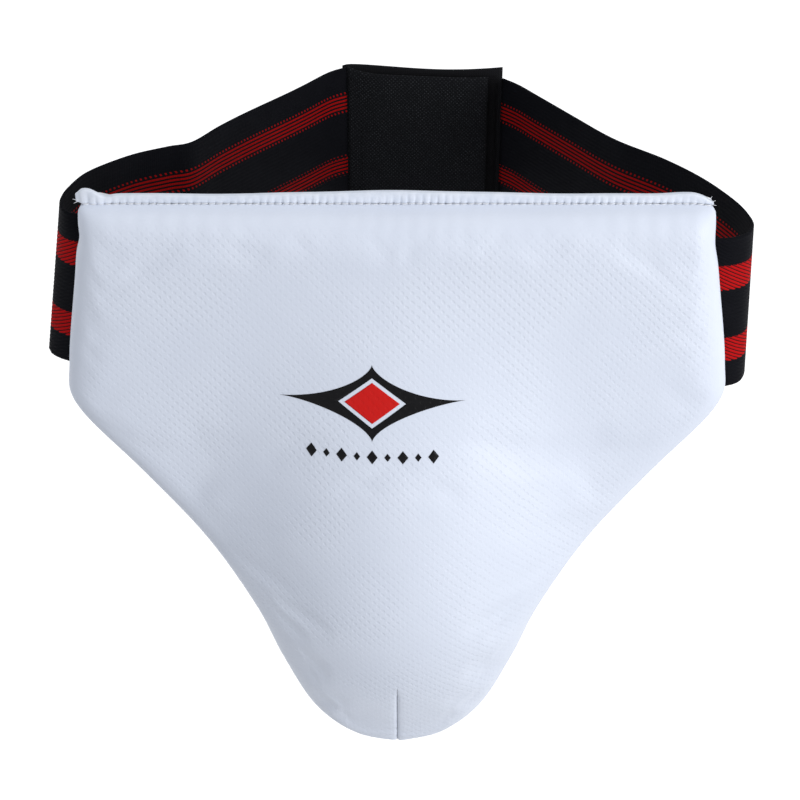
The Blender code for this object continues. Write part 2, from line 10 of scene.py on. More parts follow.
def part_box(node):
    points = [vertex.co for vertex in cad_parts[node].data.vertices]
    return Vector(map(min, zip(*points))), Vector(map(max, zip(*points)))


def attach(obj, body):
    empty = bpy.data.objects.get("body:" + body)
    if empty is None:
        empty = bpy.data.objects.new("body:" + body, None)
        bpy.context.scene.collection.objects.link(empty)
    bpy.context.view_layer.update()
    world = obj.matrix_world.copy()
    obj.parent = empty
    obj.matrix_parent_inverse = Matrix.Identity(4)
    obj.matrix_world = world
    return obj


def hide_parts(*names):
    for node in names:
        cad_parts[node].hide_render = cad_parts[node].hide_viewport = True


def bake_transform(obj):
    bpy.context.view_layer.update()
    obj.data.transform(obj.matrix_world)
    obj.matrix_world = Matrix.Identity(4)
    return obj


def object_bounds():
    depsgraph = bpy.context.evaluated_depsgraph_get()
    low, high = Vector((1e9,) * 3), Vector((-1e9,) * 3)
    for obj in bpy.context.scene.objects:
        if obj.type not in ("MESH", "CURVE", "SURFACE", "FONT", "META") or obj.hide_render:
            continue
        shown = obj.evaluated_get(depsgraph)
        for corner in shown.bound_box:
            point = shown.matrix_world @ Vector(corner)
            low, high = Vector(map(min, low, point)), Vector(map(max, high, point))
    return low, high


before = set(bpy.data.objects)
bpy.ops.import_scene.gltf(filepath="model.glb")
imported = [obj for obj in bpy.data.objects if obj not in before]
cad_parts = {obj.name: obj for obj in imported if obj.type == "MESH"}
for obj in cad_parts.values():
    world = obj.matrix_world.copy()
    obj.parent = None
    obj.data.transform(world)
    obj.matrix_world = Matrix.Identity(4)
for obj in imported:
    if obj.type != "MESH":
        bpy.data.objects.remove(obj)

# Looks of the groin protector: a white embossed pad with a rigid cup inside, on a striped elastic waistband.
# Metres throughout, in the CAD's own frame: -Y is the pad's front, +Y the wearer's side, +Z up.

cad_low, cad_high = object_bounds()

# -------- sizes repeated from the CAD

GAP = 0.0003
PAD_TOP = 0.0545
PAD_HEIGHT = 0.297
TOP_HALF_WIDTH = 0.137
SIDE_POINTS = (  # half width, and distance below the hem's fold, down one side
    (0.1370, 0.000),
    (0.1415, 0.034),
    (0.1485, 0.080),
    (0.1470, 0.102),
    (0.1190, 0.137),
    (0.0900, 0.174),
    (0.0700, 0.207),
    (0.0590, 0.236),
    (0.0440, 0.270),
    (0.0240, 0.290),
    (0.0000, 0.297),
)
LINING_THICKNESS = 0.0012
BACKING_THICKNESS = 0.0035
COVER_THICKNESS = 0.0010
FLAT_DEPTH = 0.0160
EDGE_DEPTH = 0.0064
EDGE_ROLL = 0.0140
TOP_ROLL = 0.0200
CROWN = 0.0050
CUP_CENTRE_DROP = 0.188
CUP_HALF_WIDTH = 0.050
CUP_RISE = 0.082
CUP_FALL = 0.078
CUP_DEPTH = 0.036
CUP_FLANGE = 0.84
SWELL_DEPTH = 0.037
SWELL_HALF_WIDTH = 0.088
SWELL_RISE = 0.135
SWELL_FALL = 0.114
HEM_HEIGHT = 0.0040
HEM_DEPTH = 0.0050
HEM_STITCH_DROP = 0.0034
BAND_WIDTH = 0.075
BAND_THICKNESS = 0.0016
BAND_SLOPE = -0.0425
LEFT_LEAN = 0.0115
RIGHT_LEAN = 0.0035
LEAN_START = 0.0200
RIGHT_END_DROP = 0.0035
HINGE_OFFSET = 0.1492
ANCHOR_LENGTH = 0.026
LEFT_STRAP_ROUTE = (  # past its turn at the pad's edge
    (-0.1410, 0.0480),
    (-0.1250, 0.0700),
    (-0.1090, 0.0820),
    (-0.0975, 0.0890),
    (-0.0850, 0.1120),
    (-0.0670, 0.1430),
    (-0.0485, 0.1760),
    (-0.0370, 0.1960),
)
RIGHT_STRAP_ROUTE = (
    (0.1600, 0.0260),
    (0.1565, 0.0440),
    (0.1460, 0.0680),
    (0.1300, 0.0920),
    (0.1095, 0.1170),
    (0.0920, 0.1480),
    (0.0750, 0.1780),
    (0.0650, 0.1970),
)
CLOSURE_Y = 0.2060
LOOP_TAB_START = -0.0275
LOOP_TAB_END = 0.0490
LOOP_TAB_THICKNESS = 0.0018
LOOP_TAB_HEIGHT = 0.071
TAIL_FREE_END = -0.0300
TAIL_HINGE_X = 0.0570
TAIL_THICKNESS = 0.0014
TAIL_HEIGHT = 0.076
HOOK_THICKNESS = 0.0012
HOOK_MARGIN = 0.0030
STITCH_INSET = 0.0040
DART_START = 0.0060
DART_LENGTH = 0.0560
TIP_Z = PAD_TOP - PAD_HEIGHT
CUP_CENTRE_Z = PAD_TOP - CUP_CENTRE_DROP
COVER_TOP = PAD_TOP - HEM_HEIGHT - GAP
TAIL_OUTER_FACE = CLOSURE_Y + 2 * GAP + HOOK_THICKNESS + TAIL_THICKNESS
CUP_BACK = LINING_THICKNESS + 2 * GAP + BACKING_THICKNESS

# -------- sizes of the looks

SIDE_COUNT = 74  # cover grid cells down each side
TOP_COUNT = 66  # cover grid cells along the hem, and along the rounded tip
ROLL_COUNT = 8  # rows of cells across the rounded edge
TIP_START = 0.262  # distance below the hem's fold where the sides end and the tip begins
PUFF_LIMIT = 0.0012  # most that the cloth may move off the foam
CROWN_HALF_WIDTH = 0.150  # distance from the middle at which the pad's crown has fallen away
BRIDGE = 0.60  # how softly the taut cover leaves the flat pad for the swelling
TIP_BRIDGE = 0.16  # the same near the tip
RIB_COUNT = 36  # ribs across the elastic
RIB_SAMPLES = 4  # points across one rib
RIB_HEIGHT = 0.00016
STRIPE_WIDTH = 0.0120
STRIPE_CENTRES = (0.0195, 0.0558)  # above the band's lower edge
STITCH_PITCH = 0.0032
STITCH_LENGTH = 0.0024
STITCH_RADIUS = 0.00028
STITCH_SEAT = STITCH_RADIUS * 0.6  # height of a stitch's middle line above the cloth
INK_THICKNESS = 0.00014
EMBOSS_PITCH = 0.0044
LEFT_TURN = (  # the left elastic's bend from the lining to the waist, rounder than the CAD's
    (-0.1430, 0.0016),
    (-0.1466, 0.0046),
    (-0.1494, 0.0096),
    (-0.1510, 0.0170),
    (-0.1495, 0.0290),
)
RIGHT_TURN = (
    (0.1450, 0.0015),
    (0.1505, 0.0038),
    (0.1560, 0.0086),
    (0.1593, 0.0165),
)
LEFT_TUCK = 0.0020  # how far the left elastic's top edge curls in behind the pad
LEFT_BOW = 0.0025  # how far the left elastic bows out past the CAD's route
ROUTE_SPACING = 0.0026  # between the sections of an elastic
TAB_SPACING = 0.0024  # between the sections of the closure's flat layers
PLAIN_SAMPLES = 60  # points across a band without ribs
EDGE_ROUNDING = 0.0008  # how far in from its edges a band reaches its full thickness
LINING_HOLE_PITCH = 0.0042
DROOP = 0.0030  # how far the hem's right end hangs down
COVER_DROOP = 0.3  # the part of that droop that the cover's corner shares
PUFF_PRESSURE = 0.9  # of the air that blows the cover up in its cloth simulation
HELD_MARGIN = 0.0100  # width of the cover's edge that the cloth simulation holds back
SIMULATED_FRAMES = 20  # the cloth's shape is taken at the last of them
EMBLEM_CENTRE = (-0.0110, -0.0310)  # x and z
EMBLEM_DOTS = 9


# -------- camera, light and floor


def aim(thing, target):
    """Turns an object so that its -Z axis points at the target."""
    way = Vector(target) - thing.location
    thing.rotation_mode = "QUATERNION"
    thing.rotation_quaternion = way.to_track_quat("-Z", "Y")


def make_camera():
    """A long lens in front of the pad, 30 degrees above it."""
    target = Vector((0.0013, -0.003, -0.0484))
    elevation = math.radians(30)
    distance = 0.80
    lens = bpy.data.cameras.new("camera")
    lens.lens = 78
    lens.sensor_width = 36
    camera = bpy.data.objects.new("camera", lens)
    bpy.context.scene.collection.objects.link(camera)
    camera.location = target + distance * Vector((0, -math.cos(elevation), math.sin(elevation)))
    aim(camera, target)
    bpy.context.scene.camera = camera


def soft_light(name, place, target, size, power, colour):
    """A round area light that points at a target."""
    lamp = bpy.data.lights.new(name, "AREA")
    lamp.shape = "DISK"
    lamp.size = size
    lamp.energy = power
    lamp.color = colour
    light = bpy.data.objects.new(name, lamp)
    bpy.context.scene.collection.objects.link(light)
    light.location = place
    aim(light, target)


def make_studio():
    """A soft key from the front right, a weak light above, a surround that pales upward and a pale floor."""
    middle = (0, 0, -0.05)
    soft_light("key", (1.25, -1.00, 0.20), middle, 0.7, 14.5, (1.0, 0.99, 0.98))
    soft_light("top", (0.1, 0.1, 1.6), middle, 1.2, 3, (1.0, 1.0, 1.0))
    world = bpy.data.worlds.new("surround")
    world.use_nodes = True
    nodes, links = world.node_tree.nodes, world.node_tree.links
    way = nodes.new("ShaderNodeTexCoord")
    split = nodes.new("ShaderNodeSeparateXYZ")
    height = nodes.new("ShaderNodeMapRange")
    height.inputs["From Min"].default_value = -1.0
    height.inputs["To Min"].default_value = 0.40
    height.inputs["To Max"].default_value = 0.72
    links.new(way.outputs["Generated"], split.inputs[0])
    links.new(split.outputs["Z"], height.inputs["Value"])
    links.new(height.outputs["Result"], nodes["Background"].inputs["Strength"])
    nodes["Background"].inputs["Color"].default_value = (0.97, 0.98, 1.0, 1.0)
    bpy.context.scene.world = world
    half = 40.0
    level = cad_low[2] - 0.30
    corners = [(x * half, y * half, level) for x, y in ((-1, -1), (1, -1), (1, 1), (-1, 1))]
    mesh = bpy.data.meshes.new("floor")
    mesh.from_pydata(corners, [], [(0, 1, 2, 3)])
    finish = bpy.data.materials.new("floor")
    finish.use_nodes = True
    shader = finish.node_tree.nodes["Principled BSDF"]
    shader.inputs["Base Color"].default_value = (0.93, 0.93, 0.935, 1.0)
    shader.inputs["Roughness"].default_value = 0.95
    shader.inputs["Emission Color"].default_value = (1.0, 1.0, 1.0, 1.0)
    shader.inputs["Emission Strength"].default_value = 0.50
    mesh.materials.append(finish)
    floor = bpy.data.objects.new("floor", mesh)
    floor.visible_diffuse = False  # so that the underside of the pad stays in soft shade
    bpy.context.scene.collection.objects.link(floor)


# -------- material building


class Recipe:
    """Builds one procedural material, node by node."""

    def __init__(self, name, roughness, shine=0.5, sheen=0.0):
        self.material = bpy.data.materials.new(name)
        self.material.use_nodes = True
        self.tree = self.material.node_tree
        self.shader = self.tree.nodes["Principled BSDF"]
        self.shader.inputs["Roughness"].default_value = roughness
        self.shader.inputs["Specular IOR Level"].default_value = shine
        self.shader.inputs["Sheen Weight"].default_value = sheen
        self.shader.inputs["Sheen Roughness"].default_value = 0.5

    def link(self, value, socket):
        if isinstance(value, (int, float)):
            socket.default_value = value
        elif isinstance(value, tuple):
            socket.default_value = (*value, 1.0)
        else:
            self.tree.links.new(value, socket)

    def math(self, operation, *values):
        node = self.tree.nodes.new("ShaderNodeMath")
        node.operation = operation
        for value, socket in zip(values, node.inputs):
            self.link(value, socket)
        return node.outputs[0]

    def ramp(self, value, low, high):
        """0 below low and 1 above high, smooth between."""
        node = self.tree.nodes.new("ShaderNodeMapRange")
        node.interpolation_type = "SMOOTHSTEP"
        self.link(value, node.inputs["Value"])
        self.link(low, node.inputs["From Min"])
        self.link(high, node.inputs["From Max"])
        return node.outputs["Result"]

    def mix(self, share, first, second):
        node = self.tree.nodes.new("ShaderNodeMix")
        node.data_type = "RGBA"
        self.link(share, node.inputs["Factor"])
        self.link(first, node.inputs["A"])
        self.link(second, node.inputs["B"])
        return node.outputs["Result"]

    def attribute(self, name):
        node = self.tree.nodes.new("ShaderNodeAttribute")
        node.attribute_name = name
        return node.outputs["Fac"]

    def place(self):
        """The point's X, Y and Z in metres."""
        source = self.tree.nodes.new("ShaderNodeTexCoord")
        split = self.tree.nodes.new("ShaderNodeSeparateXYZ")
        self.tree.links.new(source.outputs["Object"], split.inputs[0])
        return split.outputs[0], split.outputs[1], split.outputs[2]

    def vector(self, x, y, z):
        node = self.tree.nodes.new("ShaderNodeCombineXYZ")
        for value, socket in zip((x, y, z), node.inputs):
            self.link(value, socket)
        return node.outputs[0]

    def noise(self, coordinates, scale, detail=2.0):
        node = self.tree.nodes.new("ShaderNodeTexNoise")
        self.tree.links.new(coordinates, node.inputs["Vector"])
        node.inputs["Scale"].default_value = scale
        node.inputs["Detail"].default_value = detail
        return node.outputs["Fac"]

    def object_noise(self, scale, detail=2.0):
        source = self.tree.nodes.new("ShaderNodeTexCoord")
        return self.noise(source.outputs["Object"], scale, detail)

    def wave(self, value, pitch):
        """0 to 1 and back, once for each pitch."""
        turns = self.math("MULTIPLY", value, 2 * math.pi / pitch)
        return self.math("MULTIPLY_ADD", self.math("SINE", turns), 0.5, 0.5)

    def within(self, value, centre, half, soft):
        """1 within half of the centre, fading over a soft edge."""
        distance = self.math("ABSOLUTE", self.math("SUBTRACT", value, centre))
        return self.math("SUBTRACT", 1.0, self.ramp(distance, half - soft, half + soft))

    def either(self, *masks):
        result = masks[0]
        for mask in masks[1:]:
            result = self.math("MAXIMUM", result, mask)
        return result

    def colour(self, value):
        self.link(value, self.shader.inputs["Base Color"])

    def roughness(self, value):
        self.link(value, self.shader.inputs["Roughness"])

    def relief(self, height, depth):
        """Bumps of a real depth, laid over any made before."""
        node = self.tree.nodes.new("ShaderNodeBump")
        node.inputs["Strength"].default_value = 1.0
        node.inputs["Distance"].default_value = depth
        self.link(height, node.inputs["Height"])
        before = self.shader.inputs["Normal"].links
        if before:
            self.tree.links.new(before[0].from_socket, node.inputs["Normal"])
        self.tree.links.new(node.outputs[0], self.shader.inputs["Normal"])


def dash_lattice(recipe, x, z, pitch, length, width):
    """Small slanted dashes on a diagonal lattice, as a height from 0 to 1."""
    rising = recipe.math("DIVIDE", recipe.math("ADD", x, z), pitch)
    falling = recipe.math("DIVIDE", recipe.math("SUBTRACT", x, z), pitch)
    near_rising = recipe.math("SUBTRACT", recipe.math("FRACT", rising), 0.5)
    near_falling = recipe.math("SUBTRACT", recipe.math("FRACT", falling), 0.5)
    far_along = recipe.math("POWER", recipe.math("DIVIDE", near_falling, length), 2.0)
    far_across = recipe.math("POWER", recipe.math("DIVIDE", near_rising, width), 2.0)
    return recipe.math("SUBTRACT", 1.0, recipe.ramp(recipe.math("ADD", far_along, far_across), 0.3, 1.0))


def embossed_leather():
    """White synthetic leather with a pressed lattice of dashes, which fades where the edges stretch it, with
    painted shade in the dashes and along the dart's line.
    """
    recipe = Recipe("embossed_leather", 0.5, shine=0.35)
    x, _, z = recipe.place()
    inset = recipe.attribute("inset")
    pressed = recipe.math("MULTIPLY_ADD", recipe.ramp(recipe.object_noise(24, 3.0), 0.38, 0.62), 0.65, 0.35)
    pressed = recipe.math("MULTIPLY", pressed, recipe.ramp(inset, 0.002, 0.013))
    uneven = recipe.math("MULTIPLY_ADD", recipe.object_noise(120, 2.0), 0.0030, -0.0015)
    dashes = dash_lattice(recipe, recipe.math("ADD", x, uneven), z, EMBOSS_PITCH, 0.38, 0.23)
    dashes = recipe.math("MULTIPLY", dashes, pressed)
    grain = recipe.object_noise(1500, 3.0)
    broad = recipe.object_noise(22, 2.0)
    white = recipe.mix(recipe.ramp(broad, 0.3, 0.7), (0.712, 0.768, 0.888), (0.738, 0.794, 0.912))
    # painted shade: the pressed dashes are darkened a little in their hollows
    white = recipe.mix(recipe.math("MULTIPLY", dashes, 0.05), white, (0.50, 0.55, 0.66))
    # painted shade: the dart's narrow line is darkened as its crease shadow, pulsing at the stitch pitch
    dart_middle = TIP_Z + DART_START + DART_LENGTH / 2
    beside = recipe.within(x, 0.0, 0.00022, 0.0002)
    in_dart = recipe.math("MULTIPLY", beside, recipe.within(z, dart_middle, DART_LENGTH / 2, 0.002))
    dart_shade_pulse = recipe.math("MULTIPLY_ADD", recipe.wave(z, STITCH_PITCH * 0.8), 0.35, 0.65)
    crease = recipe.math("MULTIPLY", in_dart, dart_shade_pulse)
    recipe.colour(recipe.mix(recipe.math("MULTIPLY", crease, 0.8), white, (0.30, 0.33, 0.40)))
    recipe.roughness(recipe.math("MULTIPLY_ADD", grain, 0.16, 0.40))
    recipe.relief(broad, 0.0006)
    recipe.relief(grain, 0.00005)
    recipe.relief(dashes, -0.00010)
    recipe.relief(in_dart, -0.00030)
    return recipe.material


def folded_leather():
    """The same leather folded into the hem, where its lattice is pulled flat."""
    recipe = Recipe("folded_leather", 0.5)
    grain = recipe.object_noise(1500, 3.0)
    creases = recipe.object_noise(260, 2.0)
    recipe.colour(recipe.mix(recipe.ramp(creases, 0.35, 0.65), (0.69, 0.745, 0.85), (0.75, 0.80, 0.90)))
    recipe.roughness(recipe.math("MULTIPLY_ADD", grain, 0.16, 0.42))
    recipe.relief(creases, 0.0004)
    recipe.relief(grain, 0.00005)
    return recipe.material


def lining_mesh():
    """Open knitted lining with small holes in rows."""
    recipe = Recipe("lining_mesh", 0.9, sheen=0.2)
    x, _, z = recipe.place()
    holes = dash_lattice(recipe, x, z, LINING_HOLE_PITCH, 0.30, 0.30)
    knit = recipe.math("MULTIPLY", recipe.wave(x, 0.0009), recipe.wave(z, 0.0012))
    patches = recipe.object_noise(30, 2.0)
    white = recipe.mix(recipe.ramp(patches, 0.3, 0.7), (0.80, 0.83, 0.88), (0.87, 0.89, 0.93))
    # painted shade: the holes are darkened for the shadowed gap behind the mesh
    recipe.colour(recipe.mix(recipe.math("MULTIPLY", holes, 0.70), white, (0.36, 0.38, 0.42)))
    recipe.relief(knit, 0.00015)
    recipe.relief(holes, -0.0006)
    return recipe.material


def striped_elastic():
    """Black ribbed elastic with two red stripes: twill-faced outside, lined with dashes inside."""
    recipe = Recipe("striped_elastic", 0.85, shine=0.04)
    along = recipe.attribute("along")
    across = recipe.attribute("across")
    outside = recipe.attribute("outside")
    rib = BAND_WIDTH / RIB_COUNT
    twill = recipe.wave(recipe.math("MULTIPLY_ADD", along, 0.55, across), 0.0017)
    picks = recipe.wave(along, 0.0011)
    ribs = recipe.wave(across, rib)
    fibres = recipe.noise(recipe.vector(along, across, 0.0), 1800, 3.0)
    wear = recipe.noise(recipe.vector(along, across, 0.3), 60, 3.0)
    black = recipe.mix(wear, (0.0028, 0.0030, 0.0045), (0.0070, 0.0074, 0.0100))

    half = STRIPE_WIDTH / 2
    wavy = recipe.math("MULTIPLY_ADD", twill, 0.0006, recipe.math("SUBTRACT", across, 0.0003))
    solid = recipe.either(*(recipe.within(wavy, centre, half, 0.0001) for centre in STRIPE_CENTRES))
    threads = recipe.ramp(twill, 0.04, 0.30)
    outer_red = recipe.mix(fibres, (0.36, 0.004, 0.005), (0.58, 0.010, 0.011))
    outer = recipe.mix(recipe.math("MULTIPLY", solid, threads), black, outer_red)

    inner_band = recipe.either(*(recipe.within(across, c, half - rib, 0.0001) for c in STRIPE_CENTRES))
    fringe_band = recipe.either(*(recipe.within(across, c, half, 0.0001) for c in STRIPE_CENTRES))
    dashes = recipe.wave(recipe.math("MULTIPLY_ADD", across, 0.6, along), 0.0027)
    lines = recipe.ramp(ribs, 0.30, 0.58)
    breaks = recipe.math("MULTIPLY_ADD", recipe.ramp(dashes, 0.70, 0.92), -0.75, 1.0)
    rows = recipe.math("MULTIPLY", inner_band, breaks)
    dots = recipe.math("MULTIPLY", fringe_band, recipe.ramp(dashes, 0.55, 0.78))
    inner_mask = recipe.math("MULTIPLY", lines, recipe.either(rows, dots))
    inner = recipe.mix(inner_mask, black, recipe.mix(fibres, (0.260, 0.003, 0.003), (0.430, 0.006, 0.006)))

    recipe.colour(recipe.mix(recipe.ramp(outside, 0.4, 0.6), inner, outer))
    recipe.roughness(recipe.math("MULTIPLY_ADD", fibres, 0.2, 0.65))
    recipe.relief(fibres, 0.00006)
    recipe.relief(recipe.math("MULTIPLY", picks, recipe.math("SUBTRACT", 1.0, outside)), 0.00006)
    recipe.relief(recipe.math("MULTIPLY", twill, outside), 0.00022)
    return recipe.material


def pile_tape(name, bristle, dark, light, depth):
    """Black pile or hook tape: close tufts in rows, lighter at their tips with painted glints."""
    recipe = Recipe(name, 0.9, shine=0.10)
    along = recipe.attribute("along")
    across = recipe.attribute("across")
    spot = recipe.vector(along, across, 0.0)
    tufts = dash_lattice(recipe, along, across, bristle, 0.42, 0.34)
    fuzz = recipe.noise(spot, 1400, 4.0)
    glint_patches = recipe.noise(spot, 90, 3.0)
    # painted highlight: the tufts' tips are lightened as glints, in random patches
    tips = recipe.math("MULTIPLY", recipe.ramp(recipe.math("MULTIPLY", tufts, fuzz), 0.38, 0.62), glint_patches)
    recipe.colour(recipe.mix(tips, dark, light))
    recipe.relief(fuzz, depth)
    recipe.relief(tufts, depth)
    return recipe.material


def plain_webbing():
    """Black woven webbing."""
    recipe = Recipe("plain_webbing", 0.85, shine=0.12)
    along = recipe.attribute("along")
    across = recipe.attribute("across")
    warp = recipe.wave(across, 0.0012)
    weft = recipe.wave(recipe.math("ADD", along, recipe.math("MULTIPLY", warp, 0.0006)), 0.0012)
    fibres = recipe.noise(recipe.vector(along, across, 0.0), 1500, 3.0)
    shade = recipe.math("MULTIPLY", weft, fibres)
    recipe.colour(recipe.mix(shade, (0.004, 0.004, 0.005), (0.018, 0.019, 0.023)))
    recipe.relief(fibres, 0.00006)
    recipe.relief(weft, 0.00018)
    return recipe.material


def thread(name, dark, light, shine, sheen):
    """Twisted thread."""
    recipe = Recipe(name, 0.6, shine=shine, sheen=sheen)
    x, y, z = recipe.place()
    plies = recipe.wave(recipe.math("ADD", recipe.math("ADD", x, y), z), 0.0007)
    recipe.colour(recipe.mix(plies, dark, light))
    recipe.relief(plies, 0.00008)
    return recipe.material


def foam(name, dark, light):
    """Cut foam with fine cells."""
    recipe = Recipe(name, 0.95)
    cells = recipe.object_noise(900, 3.0)
    recipe.colour(recipe.mix(recipe.ramp(cells, 0.35, 0.65), dark, light))
    recipe.relief(cells, 0.0004)
    return recipe.material


def moulded_plastic():
    """Pale moulded plastic with a fine spark finish."""
    recipe = Recipe("moulded_plastic", 0.35)
    grain = recipe.object_noise(1200, 2.0)
    flow = recipe.object_noise(18, 1.0)
    recipe.colour(recipe.mix(flow, (0.76, 0.77, 0.79), (0.82, 0.83, 0.85)))
    recipe.roughness(recipe.math("MULTIPLY_ADD", grain, 0.15, 0.28))
    recipe.relief(grain, 0.00004)
    return recipe.material


def ink(name, colour, roughness):
    """Thick screen-printing ink that lets the leather's lattice show faintly through."""
    recipe = Recipe(name, roughness, shine=0.08)
    x, _, z = recipe.place()
    mottle = recipe.object_noise(400, 2.0)
    recipe.colour(recipe.mix(recipe.math("MULTIPLY", mottle, 0.02), colour, (0.25, 0.25, 0.27)))
    recipe.relief(dash_lattice(recipe, x, z, EMBOSS_PITCH, 0.40, 0.24), -0.00008)
    return recipe.material


# -------- meshes from grids


def face_outward(mesh):
    """Turns every face of a closed mesh outward."""
    work = bmesh.new()
    work.from_mesh(mesh)
    bmesh.ops.recalc_face_normals(work, faces=work.faces)
    work.to_mesh(mesh)
    work.free()


def add_mesh(name, points, faces, finish, attributes=None, closed=True):
    """A smooth-shaded object in the scene, with values stored at its points for its material."""
    mesh = bpy.data.meshes.new(name)
    mesh.from_pydata(np.asarray(points).tolist(), [], [tuple(int(i) for i in f) for f in faces])
    mesh.materials.append(finish)
    if closed:
        face_outward(mesh)
    mesh.shade_smooth()
    for key, values in (attributes or {}).items():
        stored = mesh.attributes.new(key, "FLOAT", "POINT")
        stored.data.foreach_set("value", np.asarray(values, np.float32))
    piece = bpy.data.objects.new(name, mesh)
    bpy.context.scene.collection.objects.link(piece)
    return piece


def grid_faces(rows, columns, wrap_rows=False, wrap_columns=False):
    """Quads of a grid of points, counted row by row."""
    last_row = rows if wrap_rows else rows - 1
    last_column = columns if wrap_columns else columns - 1
    row, column = np.meshgrid(np.arange(last_row), np.arange(last_column), indexing="ij")
    row, column = row.ravel(), column.ravel()
    next_row, next_column = (row + 1) % rows, (column + 1) % columns
    corners = [(row, column), (row, next_column), (next_row, next_column), (next_row, column)]
    return np.stack([r * columns + c for r, c in corners], axis=1)


def ring_cap(row, count, flipped=False):
    """A face that closes one row of a grid whose rows are rings."""
    cap = [row * count + k for k in range(count)]
    return cap[::-1] if flipped else cap


def subdivide(piece):
    """Smooths the piece's mesh by one level of subdivision."""
    change = piece.modifiers.new("subdivision", "SUBSURF")
    change.levels = 1
    change.render_levels = 1
    change.boundary_smooth = "PRESERVE_CORNERS"
    graph = bpy.context.evaluated_depsgraph_get()
    graph.update()
    made = bpy.data.meshes.new_from_object(piece.evaluated_get(graph))
    piece.modifiers.clear()
    piece.data = made


def mesh_points(piece):
    points = np.empty(3 * len(piece.data.vertices), np.float32)
    piece.data.vertices.foreach_get("co", points)
    return points.reshape(-1, 3).astype(float)


def set_points(piece, points):
    piece.data.vertices.foreach_set("co", np.asarray(points, np.float32).ravel())
    piece.data.update()


def smoothstep(value):
    value = np.clip(value, 0, 1)
    return value * value * (3 - 2 * value)


def bell(value, centre, width):
    return np.exp(-(((value - centre) / width) ** 2))


def full_turn(count):
    """Evenly spaced angles round a circle."""
    return np.linspace(0, 2 * math.pi, count, endpoint=False)


# -------- curves


def unit(vectors):
    """Vectors scaled to length 1."""
    return vectors / np.linalg.norm(vectors, axis=-1, keepdims=True)


def arc_length(points):
    steps = np.linalg.norm(np.diff(points, axis=0), axis=1)
    return np.concatenate([[0.0], np.cumsum(steps)])


def resample(points, count):
    along = arc_length(points)
    wanted = np.linspace(0, along[-1], count)
    return np.stack([np.interp(wanted, along, column) for column in points.T], axis=1)


def left_of(route):
    """For each point of a level route, the unit vector to its left."""
    ways = unit(np.gradient(route, axis=0))
    return np.stack([-ways[:, 1], ways[:, 0]], axis=1)


def smooth_route(corners, spacing):
    """Points about one spacing apart on a Catmull-Rom curve through the corners."""
    corners = np.array(corners, float)
    before = 2 * corners[0] - corners[1]
    after = 2 * corners[-1] - corners[-2]
    guides = np.vstack([before, corners, after])
    steps = np.linspace(0, 1, 24, endpoint=False)[:, None]
    fine = []
    for a, b, c, d in zip(guides, guides[1:], guides[2:], guides[3:]):
        curve = 2 * b + (c - a) * steps
        curve = curve + (2 * a - 5 * b + 4 * c - d) * steps**2
        curve = curve + (3 * b - a - 3 * c + d) * steps**3
        fine.append(curve / 2)
    fine = np.vstack([*fine, corners[-1:]])
    count = max(2, round(arc_length(fine)[-1] / spacing) + 1)
    return resample(fine, count)


# -------- the pad's surface, as in the CAD


def side_line(top):
    """The right edge of the pad as (x, z) points from a height at its top down to the tip."""
    side = smooth_route([(x, PAD_TOP - drop) for x, drop in SIDE_POINTS], 0.001)
    start = [np.interp(-top, -side[:, 1], side[:, 0]), top]
    return np.vstack([start, side[side[:, 1] < top - 1e-6]])


def outline_sides(top):
    """The pad's outline as four lines of (x, z) that meet at corners: hem, right side, tip and left side."""
    edge = side_line(top)
    split = int(np.argmin(abs(edge[:, 1] - (PAD_TOP - TIP_START))))
    right = resample(edge[: split + 1], SIDE_COUNT + 1)
    tip_right = edge[split:]
    mirrored = tip_right[::-1] * (-1, 1)
    tip = resample(np.vstack([tip_right, mirrored[1:]]), TOP_COUNT + 1)
    hem = np.linspace([-edge[0, 0], top], edge[0], TOP_COUNT + 1)
    left = right * (-1, 1)
    return hem, right, tip, left[::-1]


def closed_outline(sides):
    return np.vstack([side[:-1] for side in sides])


def pad_outline(top):
    return closed_outline(outline_sides(top))


def inward(outline):
    """For each point of a closed outline, the step that moves its two sides inward by one unit."""
    before = outline - np.roll(outline, 1, axis=0)
    after = np.roll(before, -1, axis=0)
    normals = []
    for run in (before, after):
        run = unit(run)
        normals.append(np.stack([run[:, 1], -run[:, 0]], axis=1))
    shared = 1 + (normals[0] * normals[1]).sum(axis=1)
    return (normals[0] + normals[1]) / shared[:, None]


def edge_distance(x, z, outline):
    """Distance of points to the side edges of an outline, whose straight top edge is left out."""
    ring = np.vstack([outline[TOP_COUNT:], outline[:1]])
    starts, ends = ring[:-1], ring[1:]
    run = ends - starts
    nearest = np.full(len(x), np.inf)
    for start, way in zip(starts, run):
        away_x, away_z = x - start[0], z - start[1]
        along = np.clip((away_x * way[0] + away_z * way[1]) / (way**2).sum(), 0, 1)
        nearest = np.minimum(nearest, np.hypot(away_x - along * way[0], away_z - along * way[1]))
    return nearest


def egg_radius(x, z, half_width, rise, fall):
    up = z - CUP_CENTRE_Z
    return np.hypot(x / half_width, up / np.where(up > 0, rise, fall))


def rounded(distance, width):
    """0 at an edge, rising steeply at first and levelling out softly to 1 at the given width."""
    return np.sqrt(1 - (1 - np.clip(distance / width, 0, 1)) ** 2.5)


